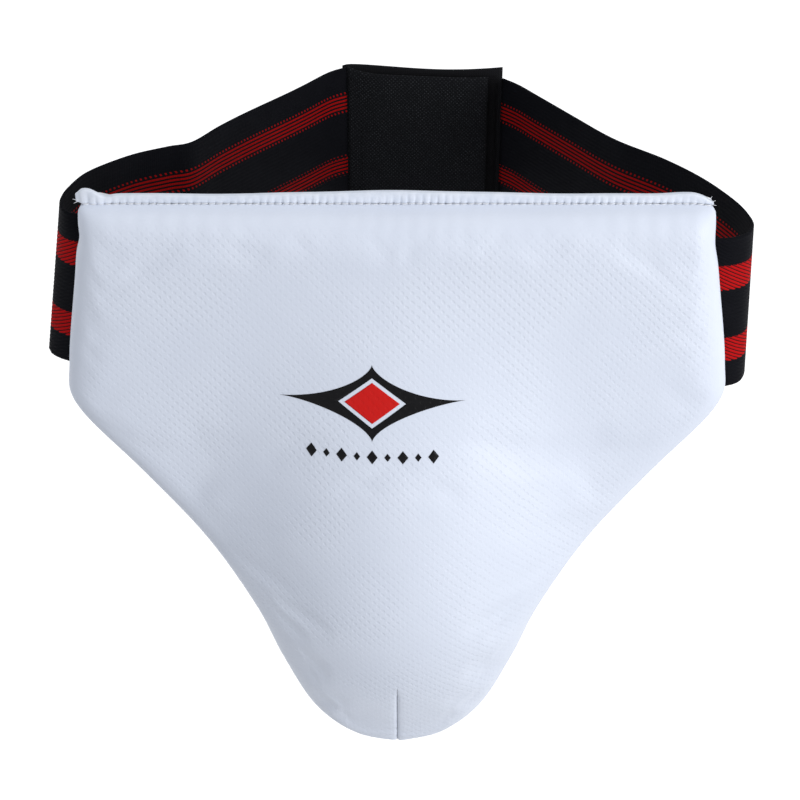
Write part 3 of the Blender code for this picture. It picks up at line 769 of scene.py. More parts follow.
def pad_front(x, z, outline):
    """Depth of the cover's outer side."""
    radius = egg_radius(x, z, SWELL_HALF_WIDTH, SWELL_RISE, SWELL_FALL)
    inside = 1 - radius**2
    above_tip = smoothstep((z - TIP_Z - 0.035) / 0.080)
    bridge = TIP_BRIDGE + (BRIDGE - TIP_BRIDGE) * above_tip
    swell = ((inside + np.hypot(inside, bridge)) / (1 + np.hypot(1, bridge))) ** 1.5
    crown = 1 - (x / CROWN_HALF_WIDTH) ** 2
    full = FLAT_DEPTH + CROWN * crown + SWELL_DEPTH * swell
    roll = rounded(edge_distance(x, z, outline), EDGE_ROLL) * rounded(COVER_TOP - z, TOP_ROLL)
    return EDGE_DEPTH + (full - EDGE_DEPTH) * roll


def inset_ring(outline, inset):
    """The outline moved inward, with each side spaced evenly between its corners at the hem and the tip."""
    moved = outline + inward(outline) * inset
    corner = moved[TOP_COUNT]
    side = moved[TOP_COUNT + 1 : TOP_COUNT + SIDE_COUNT + 1]
    side = side[side[:, 1] < corner[1] - GAP]
    right = resample(np.vstack([corner, side]), SIDE_COUNT + 1)
    left = right[::-1] * (-1, 1)
    hem = np.linspace(left[-1], right[0], TOP_COUNT + 1)
    half = TOP_COUNT // 2
    tip = moved[TOP_COUNT + SIDE_COUNT :][: half + 1]
    tip = resample(np.vstack([tip[tip[:, 0] > GAP], tip[-1:]]), half + 1)
    tip = np.vstack([tip, tip[-2::-1] * (-1, 1)])
    return closed_outline((hem, right, tip, left))


def coons_patch(hem, right, tip, left):
    """A grid of points that fills four joined sides."""
    v = np.linspace(0, 1, SIDE_COUNT + 1)[:, None, None]
    u = np.linspace(0, 1, TOP_COUNT + 1)[None, :, None]
    top, bottom = hem[None], tip[::-1][None]
    west, east = left[::-1][:, None], right[:, None]
    ruled = (1 - v) * top + v * bottom + (1 - u) * west + u * east
    corners = (1 - v) * ((1 - u) * hem[0] + u * hem[-1]) + v * ((1 - u) * tip[-1] + u * tip[0])
    return ruled - corners


def cover_sheet():
    """Points and faces of the cover's front, from its middle to its edge."""
    outline = pad_outline(COVER_TOP)
    angles = np.linspace(math.pi / 2, 0, ROLL_COUNT + 1)
    rings = [inset_ring(outline, EDGE_ROLL * (1 - math.cos(angle))) for angle in angles]
    inner = np.vstack([rings[0], rings[0][:1]])
    stops = np.cumsum([0, TOP_COUNT, SIDE_COUNT, TOP_COUNT, SIDE_COUNT])
    patch = coons_patch(*(inner[a : b + 1] for a, b in zip(stops, stops[1:])))
    rows, columns = SIDE_COUNT + 1, TOP_COUNT + 1
    index = np.arange(rows * columns).reshape(rows, columns)
    rim = np.concatenate([index[0, :-1], index[:-1, -1], index[-1, :0:-1], index[:0:-1, 0]])
    flat = np.vstack([patch.reshape(-1, 2), *rings[1:]])
    count = len(outline)
    base = rows * columns
    loops = [rim] + [base + k * count + np.arange(count) for k in range(ROLL_COUNT)]
    faces = [grid_faces(rows, columns)]
    for near, far in zip(loops, loops[1:]):
        faces.append(np.stack([near, far, np.roll(far, -1), np.roll(near, -1)], axis=1))
    depth = pad_front(flat[:, 0], flat[:, 1], outline)
    points = np.stack([flat[:, 0], -depth, flat[:, 1]], axis=1)
    return points, np.vstack(faces)


# -------- the pad's pieces


def drape(piece, held, pressure):
    """Blows the cloth up a little against its held points, and keeps each point within PUFF_LIMIT."""
    before = mesh_points(piece)
    group = piece.vertex_groups.new(name="held")
    for index, weight in enumerate(held):
        if weight > 0:
            group.add([index], float(weight), "REPLACE")
    cloth = piece.modifiers.new("cloth", "CLOTH")
    settings = cloth.settings
    settings.quality = 6
    settings.mass = 0.25
    settings.tension_stiffness = 18
    settings.compression_stiffness = 12
    settings.bending_stiffness = 0.4
    settings.shrink_min = -0.005
    settings.vertex_group_mass = "held"
    settings.use_pressure = True
    settings.uniform_pressure_force = pressure
    settings.effector_weights.gravity = 0
    cloth.collision_settings.use_collision = False
    scene = bpy.context.scene
    for timeline in (scene, cloth.point_cache):
        timeline.frame_start = 1
        timeline.frame_end = SIMULATED_FRAMES + 4
    for number in range(1, SIMULATED_FRAMES + 1):
        scene.frame_set(number)
    graph = bpy.context.evaluated_depsgraph_get()
    after = mesh_points(piece.evaluated_get(graph))
    piece.modifiers.clear()
    scene.frame_set(1)
    move = after - before
    length = np.linalg.norm(move, axis=1)
    move *= np.minimum(1, PUFF_LIMIT / np.maximum(length, 1e-9))[:, None]
    sink_limit = 0.0002
    move[:, 1] = np.minimum(move[:, 1], sink_limit)
    set_points(piece, before + move)


def corner_droop(x):
    """Height that the hem loses towards its right end, as a negative number."""
    return -DROOP * smoothstep((x - 0.1260) / 0.0125) ** 1.4


def tension_marks(points):
    """Small folds that the hem's gathering and the corners pull into the cover."""
    x, y, z = points.T.copy()
    below = COVER_TOP - z
    ripple_pitch, ripple_height = 0.0083, 0.00030
    pull = np.exp(-below / 0.0065) * smoothstep(below / 0.0016)
    ripple = np.sin(x * 2 * math.pi / ripple_pitch + 2.1 * np.sin(x * 37)) * (0.6 + 0.4 * np.sin(x * 61 + 1))
    front = smoothstep((-y - 0.004) / 0.006)
    y = y - ripple_height * ripple * pull * front

    # the hem pulls the upper corners in, with a notch below each, and at the left a soft fold into the pad
    left_notch, right_notch, notch_reach = 0.0012, 0.0010, 0.0060
    left_edge = np.exp(-np.clip(x + 0.1400, 0, None) / notch_reach)
    right_edge = np.exp(-np.clip(0.1400 - x, 0, None) / notch_reach)
    x = x + left_notch * bell(below, 0.0138, 0.0050) * left_edge
    x = x - right_notch * bell(below, 0.0165, 0.0080) * right_edge
    fold_depth, fold_width, fold_tilt = 0.0006, 0.0065, 0.9
    from_x, from_top = x + 0.129, below - 0.013
    fold = from_x * math.cos(fold_tilt) - from_top * math.sin(fold_tilt)
    fold_reach = np.exp(-np.hypot(from_x, from_top) / 0.016)
    y = y + fold_depth * bell(fold, 0.0, fold_width) * fold_reach * front

    # the dart under the cup: a narrow groove with short wrinkles on both sides
    up = z - TIP_Z
    dart = smoothstep(up / 0.005) * smoothstep((DART_START + DART_LENGTH - up) / 0.010)
    near = bell(x, 0.0, 0.0006)
    y = y + (0.0010 * near + 0.0003 * bell(x, 0.0, 0.0022)) * dart
    beside = np.exp(-np.abs(x) / 0.010) * (1 - near)
    wrinkle_pitch, wrinkle_height = 0.0068, 0.00042
    wrinkle = np.sin(up * 2 * math.pi / wrinkle_pitch + 1.1 * np.sign(x)) * smoothstep((0.030 - up) / 0.010)
    y = y - wrinkle_height * wrinkle * beside * dart

    # the top edge turns up a little over the hem's face, into a soft crease
    lip = np.exp(-below / 0.0007)
    y = y + (-(HEM_DEPTH + GAP) - y) * lip
    z = z + 0.0003 * lip + COVER_DROOP * corner_droop(x) * np.exp(-below / 0.006)
    return np.stack([x, y, z], axis=1)


def cover_inset(points):
    """How far in from the pad's side edges and below the hem each point lies."""
    inset = edge_distance(points[:, 0], points[:, 2], pad_outline(COVER_TOP))
    return np.minimum(inset, np.maximum(COVER_TOP - points[:, 2], 0))


def make_cover(finish):
    """The embossed cover's outer side, blown up a little as cloth and drawn in by its seams."""
    points, faces = cover_sheet()
    sheet = add_mesh("embossed_cover", points, faces[:, ::-1], finish, closed=False)
    inset = cover_inset(points)
    held = np.clip(1 - inset / HELD_MARGIN, 0, 1)
    held[inset < 0.3 * HELD_MARGIN] = 1
    drape(sheet, held, PUFF_PRESSURE)
    subdivide(sheet)
    set_points(sheet, tension_marks(mesh_points(sheet)))
    return sheet


def close_cover(sheet):
    """Adds the cover's inner side and the rim that it turns back to at the lining."""
    outer = mesh_points(sheet)
    normals = np.array([v.normal for v in sheet.data.vertices], float)
    quads = np.array([p.vertices for p in sheet.data.polygons])
    edges = dict.fromkeys((int(a), int(b)) for quad in quads for a, b in zip(quad, np.roll(quad, -1)))
    border = [(a, b) for a, b in edges if (b, a) not in edges]
    following = dict(border)
    loop = [border[0][0]]
    while following[loop[-1]] != loop[0]:
        loop.append(following[loop[-1]])
    loop = np.array(loop)
    total = len(outer)
    pad_middle = (0.0, CUP_CENTRE_Z + 0.06)
    toward_middle = unit(pad_middle - outer[loop][:, [0, 2]])
    rims = []
    under_hem = COVER_TOP - GAP
    behind = LINING_THICKNESS + GAP
    thick_edge = GAP + COVER_THICKNESS
    for depth, inset in ((HEM_DEPTH, 0.0), (behind, GAP), (behind, thick_edge)):
        rim = outer[loop].copy()
        rim[:, 1] = -depth
        rim[:, 2] = np.minimum(rim[:, 2], under_hem)
        rim[:, [0, 2]] += toward_middle * inset
        rims.append(rim)
    sheet_depth = 0.0008
    inner = outer - normals * sheet_depth
    inner[loop] = outer[loop]
    inner[np.ix_(loop, [0, 2])] += toward_middle * thick_edge
    inner[:, 2] = np.minimum(inner[:, 2], under_hem - COVER_THICKNESS)
    points = np.vstack([outer, *rims, inner])
    count = len(loop)
    rim_loops = [total + k * count + np.arange(count) for k in range(len(rims))]
    inside = total + len(rims) * count
    chain = [loop, *rim_loops, inside + loop]
    faces = [quads]
    for near, far in zip(chain, chain[1:]):
        faces.append(np.stack([near, far, np.roll(far, -1), np.roll(near, -1)], axis=1))
    faces.append(quads[:, ::-1] + inside)
    finish = sheet.data.materials[0]
    name = sheet.name
    bpy.data.objects.remove(sheet, do_unlink=True)
    return add_mesh(name, points, np.vstack(faces), finish, {"inset": cover_inset(points)})


def hem_lift(x):
    """How far the hem's fold stands above a straight line: an ear at its left, a droop at its right."""
    ear = 0.0025 * bell(x, -0.1335, 0.0050) - 0.0008 * bell(x, -0.1260, 0.0035)
    rise = 0.0006 * bell(x, 0.1235, 0.0080) + 0.0013 * bell(x, -0.0060, 0.0450)
    drift = 0.00016 * (np.sin(x * 47 + 0.7) + 0.6 * np.sin(x * 131 + 2.0))
    sag = 0.0003 * bell(x, -0.085, 0.030)
    return ear + rise + corner_droop(x) + drift - sag


def make_hem(finish):
    """The folded top edge: a flat fold with a sewn groove, dimpled between its stitches."""
    columns, around = 560, 32
    x = np.linspace(-TOP_HALF_WIDTH, TOP_HALF_WIDTH, columns)
    near = LINING_THICKNESS + 2 * GAP
    middle = (near + HEM_DEPTH) / 2
    half = (HEM_DEPTH - near) / 2
    low, high = PAD_TOP - HEM_HEIGHT, PAD_TOP
    stitch = high - HEM_STITCH_DROP
    turn = full_turn(around) + math.pi / around
    side_power, top_power = 0.42, 0.50  # under 1, so that the fold's section is a box with round corners
    left_end = smoothstep((x + TOP_HALF_WIDTH) / 0.003 + 0.25)
    right_end = smoothstep((TOP_HALF_WIDTH - x) / 0.006 + 0.15)
    end = np.minimum(left_end, right_end)
    phase = (x / STITCH_PITCH) % 1.0
    dimple = bell(phase, 0.5, 0.16)
    strength = 0.55 + 0.45 * np.sin(x * 83 + 1.3 * np.sin(x * 29))
    pulled_out = 0.0018 * np.exp(-(x + TOP_HALF_WIDTH) / 0.004)
    rows = []
    for angle in turn:
        side, up = math.cos(angle), math.sin(angle)
        flat_side = np.sign(side) * abs(side) ** side_power
        flat_up = np.sign(up) * abs(up) ** top_power
        z = (low + high) / 2 + flat_up * (high - low) / 2
        y = np.full(columns, -middle + flat_side * half)
        if side < 0:
            reach = bell(z, stitch, 0.0026)
            groove = bell(z, stitch, 0.0009)
            y += 0.00030 * groove * dimple
            y += 0.00034 * reach * dimple * strength - 0.00014 * reach * strength
        y = -middle + (y + middle) * (0.45 + 0.55 * end)
        y = y - 0.0007 * bell(x, -0.1290, 0.004)
        top_share = smoothstep((z - low) / (high - low))
        z_line = z + hem_lift(x) * top_share + COVER_DROOP * corner_droop(x) * (1 - top_share)
        centre = (low + high) / 2 + corner_droop(x)
        z_line = centre + (z_line - centre) * (0.55 + 0.45 * end)
        rows.append(np.stack([x - pulled_out, y, z_line], axis=1))
    grid = np.stack(rows, axis=1).reshape(-1, 3)
    faces = grid_faces(columns, around, wrap_columns=True).tolist()
    faces += [ring_cap(0, around, flipped=True), ring_cap(columns - 1, around)]
    return add_mesh("folded_hem", grid, faces, finish)


def stitch_row(places, outs, ways, radius=STITCH_RADIUS, length=STITCH_LENGTH):
    """Points and faces of single stitches: short rounded bars that dip at both ends."""
    along_count, around = 9, 8
    share = np.linspace(-1, 1, along_count)
    fat = np.sqrt(np.clip(1 - (0.96 * share) ** 2, 0.02, 1)) ** 0.6
    points, faces = [], []
    turn = full_turn(around)
    body = grid_faces(along_count, around, wrap_columns=True)
    for place, way, out in zip(places, ways, outs):
        side = unit(np.cross(out, way))
        circle = np.outer(np.cos(turn), out) + np.outer(np.sin(turn), side)
        first_row = len(points) * along_count
        rings = []
        for s, f in zip(share, fat):
            centre = place + way * (s * length / 2) - out * (radius * 1.3 * s * s)
            rings.append(centre + radius * f * circle)
        points.append(np.vstack(rings))
        faces += (body + first_row * around).tolist()
        faces += [ring_cap(first_row, around, flipped=True), ring_cap(first_row + along_count - 1, around)]
    return np.vstack(points), faces


def stitch_line(line, out):
    """Places, outward ways and directions of stitches along a line of points."""
    line = np.asarray(line, float)
    length = arc_length(line)[-1]
    count = max(2, int(round(length / STITCH_PITCH)) + 1)
    fine = resample(line, 2 * count - 1)
    places = fine[1::2]
    ways = unit(fine[2::2] - fine[:-2:2])
    outs = np.tile(np.asarray(out, float), (len(places), 1))
    outs -= ways * (outs * ways).sum(axis=1)[:, None]
    return places, unit(outs), ways


def make_stitches(name, lines, finish):
    """One piece of thread from several lines, each given as (points, outward way)."""
    found = [stitch_line(points, out) for points, out in lines]
    places, outs, ways = (np.vstack(group) for group in zip(*found))
    points, faces = stitch_row(places, outs, ways)
    return add_mesh(name, points, faces, finish)


def on_cover(cover, x, z):
    """The cover's outer side at each (x, z), with its outward ways there."""
    tree = BVHTree.FromObject(cover, bpy.context.evaluated_depsgraph_get())
    inward_way = Vector((0, 1, 0))
    hits, outs = [], []
    for spot in np.stack([x, np.full(len(x), cad_low[1] - 0.02), z], axis=1):
        hit, normal, _, _ = tree.ray_cast(Vector(spot), inward_way)
        if hit is None:
            hit, normal, _, _ = tree.find_nearest(Vector(spot))
        hits.append(hit)
        outs.append(normal if normal.dot(inward_way) < 0 else -normal)
    return np.array(hits, float), np.array(outs, float)


def make_hem_stitches(finish):
    """Stitches along the crease between the hem's lower edge and the cover."""
    count = int((TOP_HALF_WIDTH - STITCH_INSET / 2) / STITCH_PITCH)
    x = np.arange(-count, count + 1) * STITCH_PITCH
    z = COVER_TOP + 0.0004 + 0.00010 * np.sin(x * 210) + COVER_DROOP * corner_droop(x)
    seats = np.stack([x, np.full(len(x), -HEM_DEPTH - GAP), z], axis=1)
    outs = np.tile((0.0, -1.0, 0.0), (len(x), 1))
    ways = np.tile((1.0, 0.0, 0.0), (len(x), 1))
    ways[:, 2] = 0.06 * np.sin(np.arange(len(x)) * 1.7)
    radius = STITCH_RADIUS * 1.25
    points, faces = stitch_row(seats, outs, ways, radius=radius, length=STITCH_PITCH * 0.98)
    return add_mesh("hem_topstitching", points, faces, finish)


def make_thread_ends(finish):
    """Loose ends of thread at the hem's two corners."""
    ends = (  # place along the hem, distance below its fold, and direction in the pad's plane
        (-0.1386, 0.0024, (-1.0, 0.25)),
        (-0.1384, 0.0034, (-1.0, -0.45)),
        (0.1352, 0.0022, (0.50, 0.85)),
        (0.1362, 0.0034, (0.95, 0.40)),
        (0.1366, 0.0048, (1.0, -0.15)),
    )
    spots = np.array([(x, -HEM_DEPTH * 0.8, PAD_TOP - drop) for x, drop, _ in ends])
    ways = unit(np.array([(way[0], -0.2, way[1]) for _, _, way in ends]))
    outs = unit(np.cross(np.cross(ways, (0.0, -1.0, 0.0)), ways))
    points, faces = stitch_row(spots, outs, ways, radius=STITCH_RADIUS * 0.5, length=0.0032)
    return add_mesh("hem_thread_ends", points, faces, finish)


def make_dart_stitches(cover, finish):
    """Short stitches up the dart, sunk into its groove."""
    low = TIP_Z + DART_START
    z = np.arange(low, low + DART_LENGTH, STITCH_PITCH * 0.8)
    hits, _ = on_cover(cover, np.zeros(len(z)), z)
    ways = unit(np.gradient(hits, axis=0))
    outs = np.cross(ways, (1.0, 0.0, 0.0))
    outs[outs[:, 1] > 0] *= -1
    radius = STITCH_RADIUS * 0.7
    seats = hits - outs * radius * 0.5
    points, faces = stitch_row(seats, outs, ways, radius=radius, length=STITCH_LENGTH * 0.7)
    return add_mesh("dart_seam_stitching", points, faces, finish)


def cup_ring(part, outline):
    """A ring of the cup's egg shape and a given part of its size, with a point for each of the outline's."""
    ways = unit(outline - (0, CUP_CENTRE_Z))
    reach = 1 / egg_radius(ways[:, 0], ways[:, 1] + CUP_CENTRE_Z, CUP_HALF_WIDTH, CUP_RISE, CUP_FALL)
    return (0, CUP_CENTRE_Z) + ways * (reach * part)[:, None]


def make_lining(finish):
    """The knitted lining: flat against the wearer, and dipping into the cup."""
    outline = pad_outline(PAD_TOP)
    hollow = CUP_FLANGE * 0.97  # rim of the dip, as a part of the cup's own outline
    lip = 0.88  # where the lining lies flat again
    dip_rings, lip_rings, flat_rings = 22, 6, 26
    depth = CUP_BACK - LINING_THICKNESS - GAP
    rings, dips = [], []
    for angle in np.linspace(0.04, math.pi / 2, dip_rings):
        rings.append(cup_ring(hollow * math.sin(angle), outline))
        dips.append(depth + CUP_DEPTH * math.cos(angle) ** 1.4)
    for angle in np.linspace(0, math.pi / 2, lip_rings)[1:]:
        rings.append(cup_ring(hollow + (lip - hollow) * (1 - math.cos(angle)), outline))
        dips.append(depth * (1 - math.sin(angle)))
    start = rings[-1]
    end = outline + inward(outline) * 2 * GAP
    for share in np.linspace(0, 1, flat_rings)[1:]:
        rings.append(start + (end - start) * share)
        dips.append(0.0)
    count = len(outline)
    near = [np.stack([r[:, 0], np.full(count, -d), r[:, 1]], axis=1) for r, d in zip(rings, dips)]
    quilting = []
    for ring in near:
        soft = 0.00022 * np.sin(ring[:, 0] * 150 + 3 * np.sin(ring[:, 2] * 60)) * np.sin(ring[:, 2] * 170)
        inside = smoothstep(edge_distance(ring[:, 0], ring[:, 2], outline) / 0.01)
        moved = ring.copy()
        moved[:, 1] += np.minimum(0, soft - 0.0002) * inside
        near_top = smoothstep((ring[:, 2] - (PAD_TOP - 2 * HEM_HEIGHT)) / (2 * HEM_HEIGHT))
        moved[:, 2] += np.minimum(0, hem_lift(ring[:, 0]) - 0.0004) * near_top
        quilting.append(moved)
    far = [ring + (0, -LINING_THICKNESS, 0) for ring in quilting]
    grid = np.vstack(quilting + far[::-1])
    rows = 2 * len(rings)
    faces = grid_faces(rows, count, wrap_columns=True).tolist()
    for row, flip in ((0, 1), (rows - 1, -1)):
        tip = len(grid)
        ring = grid[row * count : (row + 1) * count]
        grid = np.vstack([grid, ring.mean(axis=0)])
        for k in range(count):
            faces.append([tip, row * count + k, row * count + (k + 1) % count][::-flip])
    return add_mesh("knitted_lining", grid, faces, finish)


def make_lining_edge_stitches(finish):
    """The seam between lining and cover, a little inside their edge, with gaps behind the elastics."""
    outline = pad_outline(PAD_TOP)
    line = outline + inward(outline) * STITCH_INSET
    points = np.stack([line[:, 0], np.full(len(line), STITCH_RADIUS * 0.5), line[:, 1]], axis=1)
    sewn_end = abs(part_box("left_strap_anchor")[1][0])
    gap_margin, gap_reach = 0.002, 0.040
    beside = abs(points[:, 0]) > sewn_end - gap_margin
    behind_band = beside & (abs(points[:, 2] - band_height(points[:, 0])) < gap_reach)
    runs = np.split(np.arange(len(points)), np.flatnonzero(np.diff(behind_band)) + 1)
    lines = [(points[run], (0, 1, 0)) for run in runs if len(run) > 3 and not behind_band[run[0]]]
    return make_stitches("lining_edge_stitching", lines, finish)


# -------- the printed emblem


def star_outline(centre, half_width, half_height, power, count):
    """A four-pointed star: a lozenge at a power of 2, with hollow sides above that."""
    turn = full_turn(count)
    x = np.sign(np.cos(turn)) * abs(np.cos(turn)) ** power
    z = np.sign(np.sin(turn)) * abs(np.sin(turn)) ** power
    return np.stack([centre[0] + half_width * x, centre[1] + half_height * z], axis=1)


def print_on(cover, name, outer, inner, finish, rows=8):
    """A film of ink on the cover, from an outline in to another of equal count, or to its own middle."""
    core = 0.03
    filled = inner is None
    if filled:
        inner = outer.mean(axis=0) + (outer - outer.mean(axis=0)) * core
    rings = [inner + (outer - inner) * share for share in np.linspace(0, 1, rows)]
    count = len(outer)
    flat = np.vstack(rings)
    hits, outs = on_cover(cover, *flat.T)
    top = hits + outs * INK_THICKNESS
    base = (hits - outs * INK_THICKNESS / 2).reshape(rows, count, 3)[::-1].reshape(-1, 3)
    grid = np.vstack([top, base])
    faces = grid_faces(2 * rows, count, wrap_rows=not filled, wrap_columns=True).tolist()
    if filled:
        faces += [ring_cap(0, count), ring_cap(2 * rows - 1, count, flipped=True)]
    return add_mesh(name, grid, faces, finish)


def make_emblem(cover, black, red):
    """A plain four-pointed star with a red lozenge in its middle, and a row of small lozenges under it."""
    centre = np.array(EMBLEM_CENTRE)
    count, thinnest_ink = 160, 0.0004
    star_power, lozenge_power = 3.0, 2.0
    star = star_outline(centre, 0.0410, 0.0165, star_power, count)
    hole = star_outline(centre, 0.0150, 0.0108, lozenge_power, count)
    distance = np.linalg.norm(star - centre, axis=1)
    clear = np.linalg.norm(hole - centre, axis=1) + thinnest_ink
    star = centre + (star - centre) * (np.maximum(distance, clear) / distance)[:, None]
    lozenge = star_outline(centre, 0.0122, 0.0088, lozenge_power, count)
    pieces = [print_on(cover, "emblem_star", star, hole, black, rows=10)]
    pieces.append(print_on(cover, "emblem_lozenge", lozenge, None, red, rows=12))
    dot_pitch, dot_drop, large, small = 0.0068, 0.0232, 0.0030, 0.0018
    for number in range(EMBLEM_DOTS):
        spot = centre + (dot_pitch * (number - EMBLEM_DOTS // 2), -dot_drop)
        tall = large if number % 2 == 0 else small
        dot = star_outline(spot, tall * 0.8, tall, lozenge_power, 24)
        pieces.append(print_on(cover, f"emblem_dot_{number + 1}", dot, None, black, rows=3))
    return pieces


# -------- the waistband's pieces


def strap_mesh(
    name, route, low, high, thickness, finish, lean=0.0, tuck=0.0, ribs=0, outer_sign=1, bulge=None
):
    """A flat band on edge along a route, with rounded edges, and its places along and across it stored."""
    along = arc_length(route)
    low, high, lean, tuck = (np.broadcast_to(v, len(route)) for v in (low, high, lean, tuck))
    samples = ribs * RIB_SAMPLES if ribs else PLAIN_SAMPLES
    share = np.linspace(0, 1, samples + 1)
    width = float(np.mean(high - low))
    edge = EDGE_ROUNDING / width
    share = edge + share * (1 - 2 * edge)
    out = np.full(samples + 1, thickness / 2)
    if ribs:
        out -= RIB_HEIGHT * (1 - np.abs(np.sin(share * ribs * math.pi)))
    thin = out[[0, -1]] * 0.55
    heights = np.concatenate([[0.0], share, [1.0], [1.0], share[::-1], [0.0]])
    offsets = np.concatenate([[thin[0]], out, [thin[1]], [-thin[1]], -out[::-1], [-thin[0]]])
    section = len(heights)
    grid = np.empty((len(route), section, 3))
    lift = np.zeros((len(route), section)) if bulge is None else bulge(along / along[-1], heights)
    shift = lean[:, None] * (1 - heights[None]) - tuck[:, None] * heights[None]
    aside = offsets[None] + shift + lift
    grid[:, :, :2] = route[:, None] + left_of(route)[:, None] * aside[:, :, None]
    grid[:, :, 2] = low[:, None] + (high - low)[:, None] * heights[None]
    faces = grid_faces(len(route), section, wrap_columns=True).tolist()
    half = section // 2
    for row, flip in ((0, 1), (len(route) - 1, -1)):
        start = row * section
        for k in range(half - 1):
            face = [start + k, start + k + 1, start + section - 2 - k, start + section - 1 - k]
            faces.append(face[::flip])
    outside = (offsets * outer_sign > 0).astype(float)
    stored = {
        "along": np.repeat(along, section),
        "across": np.tile(heights * width, len(route)),
        "outside": np.tile(outside, len(route)),
    }
    piece = add_mesh(name, grid.reshape(-1, 3), faces, finish, stored)
    return piece, float(along[-1])


def band_height(x):
    """Height of the waistband's middle line, which slopes a little."""
    return BAND_SLOPE * np.asarray(x, float)


def strap_lean(along, start):
    """The share of its lean that a strap has: it builds up past the seam and fades away at the closure."""
    past = np.clip(along - start, 0, None)
    total = along[-1] - start
    return smoothstep(past / LEAN_START) * (1 - past / total)


def bowed(route, amount):
    """A route moved out from the waist, by less and less towards its end at the closure."""
    route = np.array(route, float)
    along = arc_length(route)
    fade = smoothstep(3 * (1 - along / along[-1]))
    return route + left_of(route) * (amount * fade)[:, None]


def make_elastic(name, side, turn, strap_route, end, lean, tuck, drop, finish):
    """One elastic, from its sewn end on the lining, out past the pad's edge and back to the closure."""
    straight_until, lean_lead = 0.010, 0.008  # both measured back from the seam
    middle = GAP + BAND_THICKNESS / 2
    sewn = [(side * (HINGE_OFFSET - before), middle) for before in (ANCHOR_LENGTH, straight_until)]
    route = smooth_route([*sewn, *turn, *strap_route, end], ROUTE_SPACING)
    along = arc_length(route)
    seam = ANCHOR_LENGTH
    fall = drop * (np.clip(along - seam, 0, None) / (along[-1] - seam)) ** 2
    centre = band_height(route[:, 0]) - fall
    reach = strap_lean(along, seam - lean_lead)
    wave = 0.0004 * np.sin(along * 55 + side) * smoothstep((along - seam) / 0.03)
    low, high = centre - BAND_WIDTH / 2, centre + BAND_WIDTH / 2 + wave
    shape = {"lean": reach * lean, "tuck": reach * tuck, "ribs": RIB_COUNT, "outer_sign": side_out(route)}
    return strap_mesh(name, route, low, high, BAND_THICKNESS, finish, **shape)


def side_out(route):
    """Which side of a route, left +1 or right -1, faces away from the wearer's middle."""
    wearer_middle = (0.0, 0.09)
    middle = len(route) // 2
    outward = route[middle] - wearer_middle
    return 1 if left_of(route)[middle] @ outward > 0 else -1


def tab_route(start, end, y):
    """A straight line of points along X."""
    count = int(round(abs(end - start) / TAB_SPACING)) + 1
    return np.linspace([start, y], [end, y], count)


def make_loop_tab(finish):
    """The pile-faced inner layer, whose top edge stands off the outer layer and closes up at its left."""
    y = CLOSURE_Y - LOOP_TAB_THICKNESS / 2
    route = tab_route(LOOP_TAB_START, LOOP_TAB_END, y)
    centre = band_height(route[:, 0])
    share = (route[:, 0] - LOOP_TAB_START) / (LOOP_TAB_END - LOOP_TAB_START)
    raised = 0.0032 * np.exp(-share / 0.07)
    low, high = centre - LOOP_TAB_HEIGHT / 2, centre + LOOP_TAB_HEIGHT / 2 + raised

    def stand_off(along, up):
        lens = smoothstep(along / 0.25) * smoothstep((1.08 - along) / 0.35)
        return -0.0030 * lens[:, None] * smoothstep((up[None] - 0.45) / 0.5)

    return strap_mesh("loop_pile_tab", route, low, high, LOOP_TAB_THICKNESS, finish, bulge=stand_off)


def make_tail(finish):
    """The plain outer layer, which the right elastic runs into."""
    y = TAIL_OUTER_FACE - TAIL_THICKNESS / 2
    route = tab_route(TAIL_FREE_END, TAIL_HINGE_X, y)
    centre = band_height(route[:, 0])
    wave = 0.0007 * np.sin((route[:, 0] - TAIL_FREE_END) * 62 + 1.4)
    reach = TAIL_HEIGHT / 2 - 0.0012 * np.exp(-(route[:, 0] - TAIL_FREE_END) / 0.0022)
    raised = 0.0020 * np.exp(-(TAIL_HINGE_X - route[:, 0]) / 0.0200)
    low, high = centre - reach, centre + reach + wave + raised
    return strap_mesh("tail_webbing", route, low, high, TAIL_THICKNESS, finish)


def make_hook_tape(finish):
    """The tape of hooks between the two layers."""
    y = CLOSURE_Y + GAP + HOOK_THICKNESS / 2
    route = tab_route(TAIL_FREE_END + HOOK_MARGIN, TAIL_HINGE_X - HOOK_MARGIN, y)
    centre = band_height(route[:, 0])
    reach = TAIL_HEIGHT / 2 - HOOK_MARGIN
    return strap_mesh("hook_tape_patch", route, centre - reach, centre + reach, HOOK_THICKNESS, finish)


def box_lines(x_low, x_high, reach, y, out):
    """The four sides of a sewn box on the sloping band."""
    def spot(x, up):
        return (x, y, BAND_SLOPE * x + up)

    corners = [spot(x_low, -reach), spot(x_high, -reach), spot(x_high, reach), spot(x_low, reach)]
    return [(np.array([a, b]), out) for a, b in zip(corners, corners[1:] + corners[:1])]


def make_anchor_stitches(name, side, finish):
    """The box of thread that sews an elastic's end to the lining."""
    inner = HINGE_OFFSET - ANCHOR_LENGTH + STITCH_INSET
    ends = sorted([side * inner, side * (TOP_HALF_WIDTH - STITCH_INSET)])
    y = GAP + BAND_THICKNESS + STITCH_SEAT
    lines = box_lines(*ends, BAND_WIDTH / 2 - STITCH_INSET, y, (0, 1, 0))
    return make_stitches(name, lines, finish)


# -------- the whole object


def ride_as(piece, body, nodes):
    """Puts a piece on a body and hides the CAD nodes that it stands for."""
    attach(piece, body)
    if nodes:
        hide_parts(*nodes)


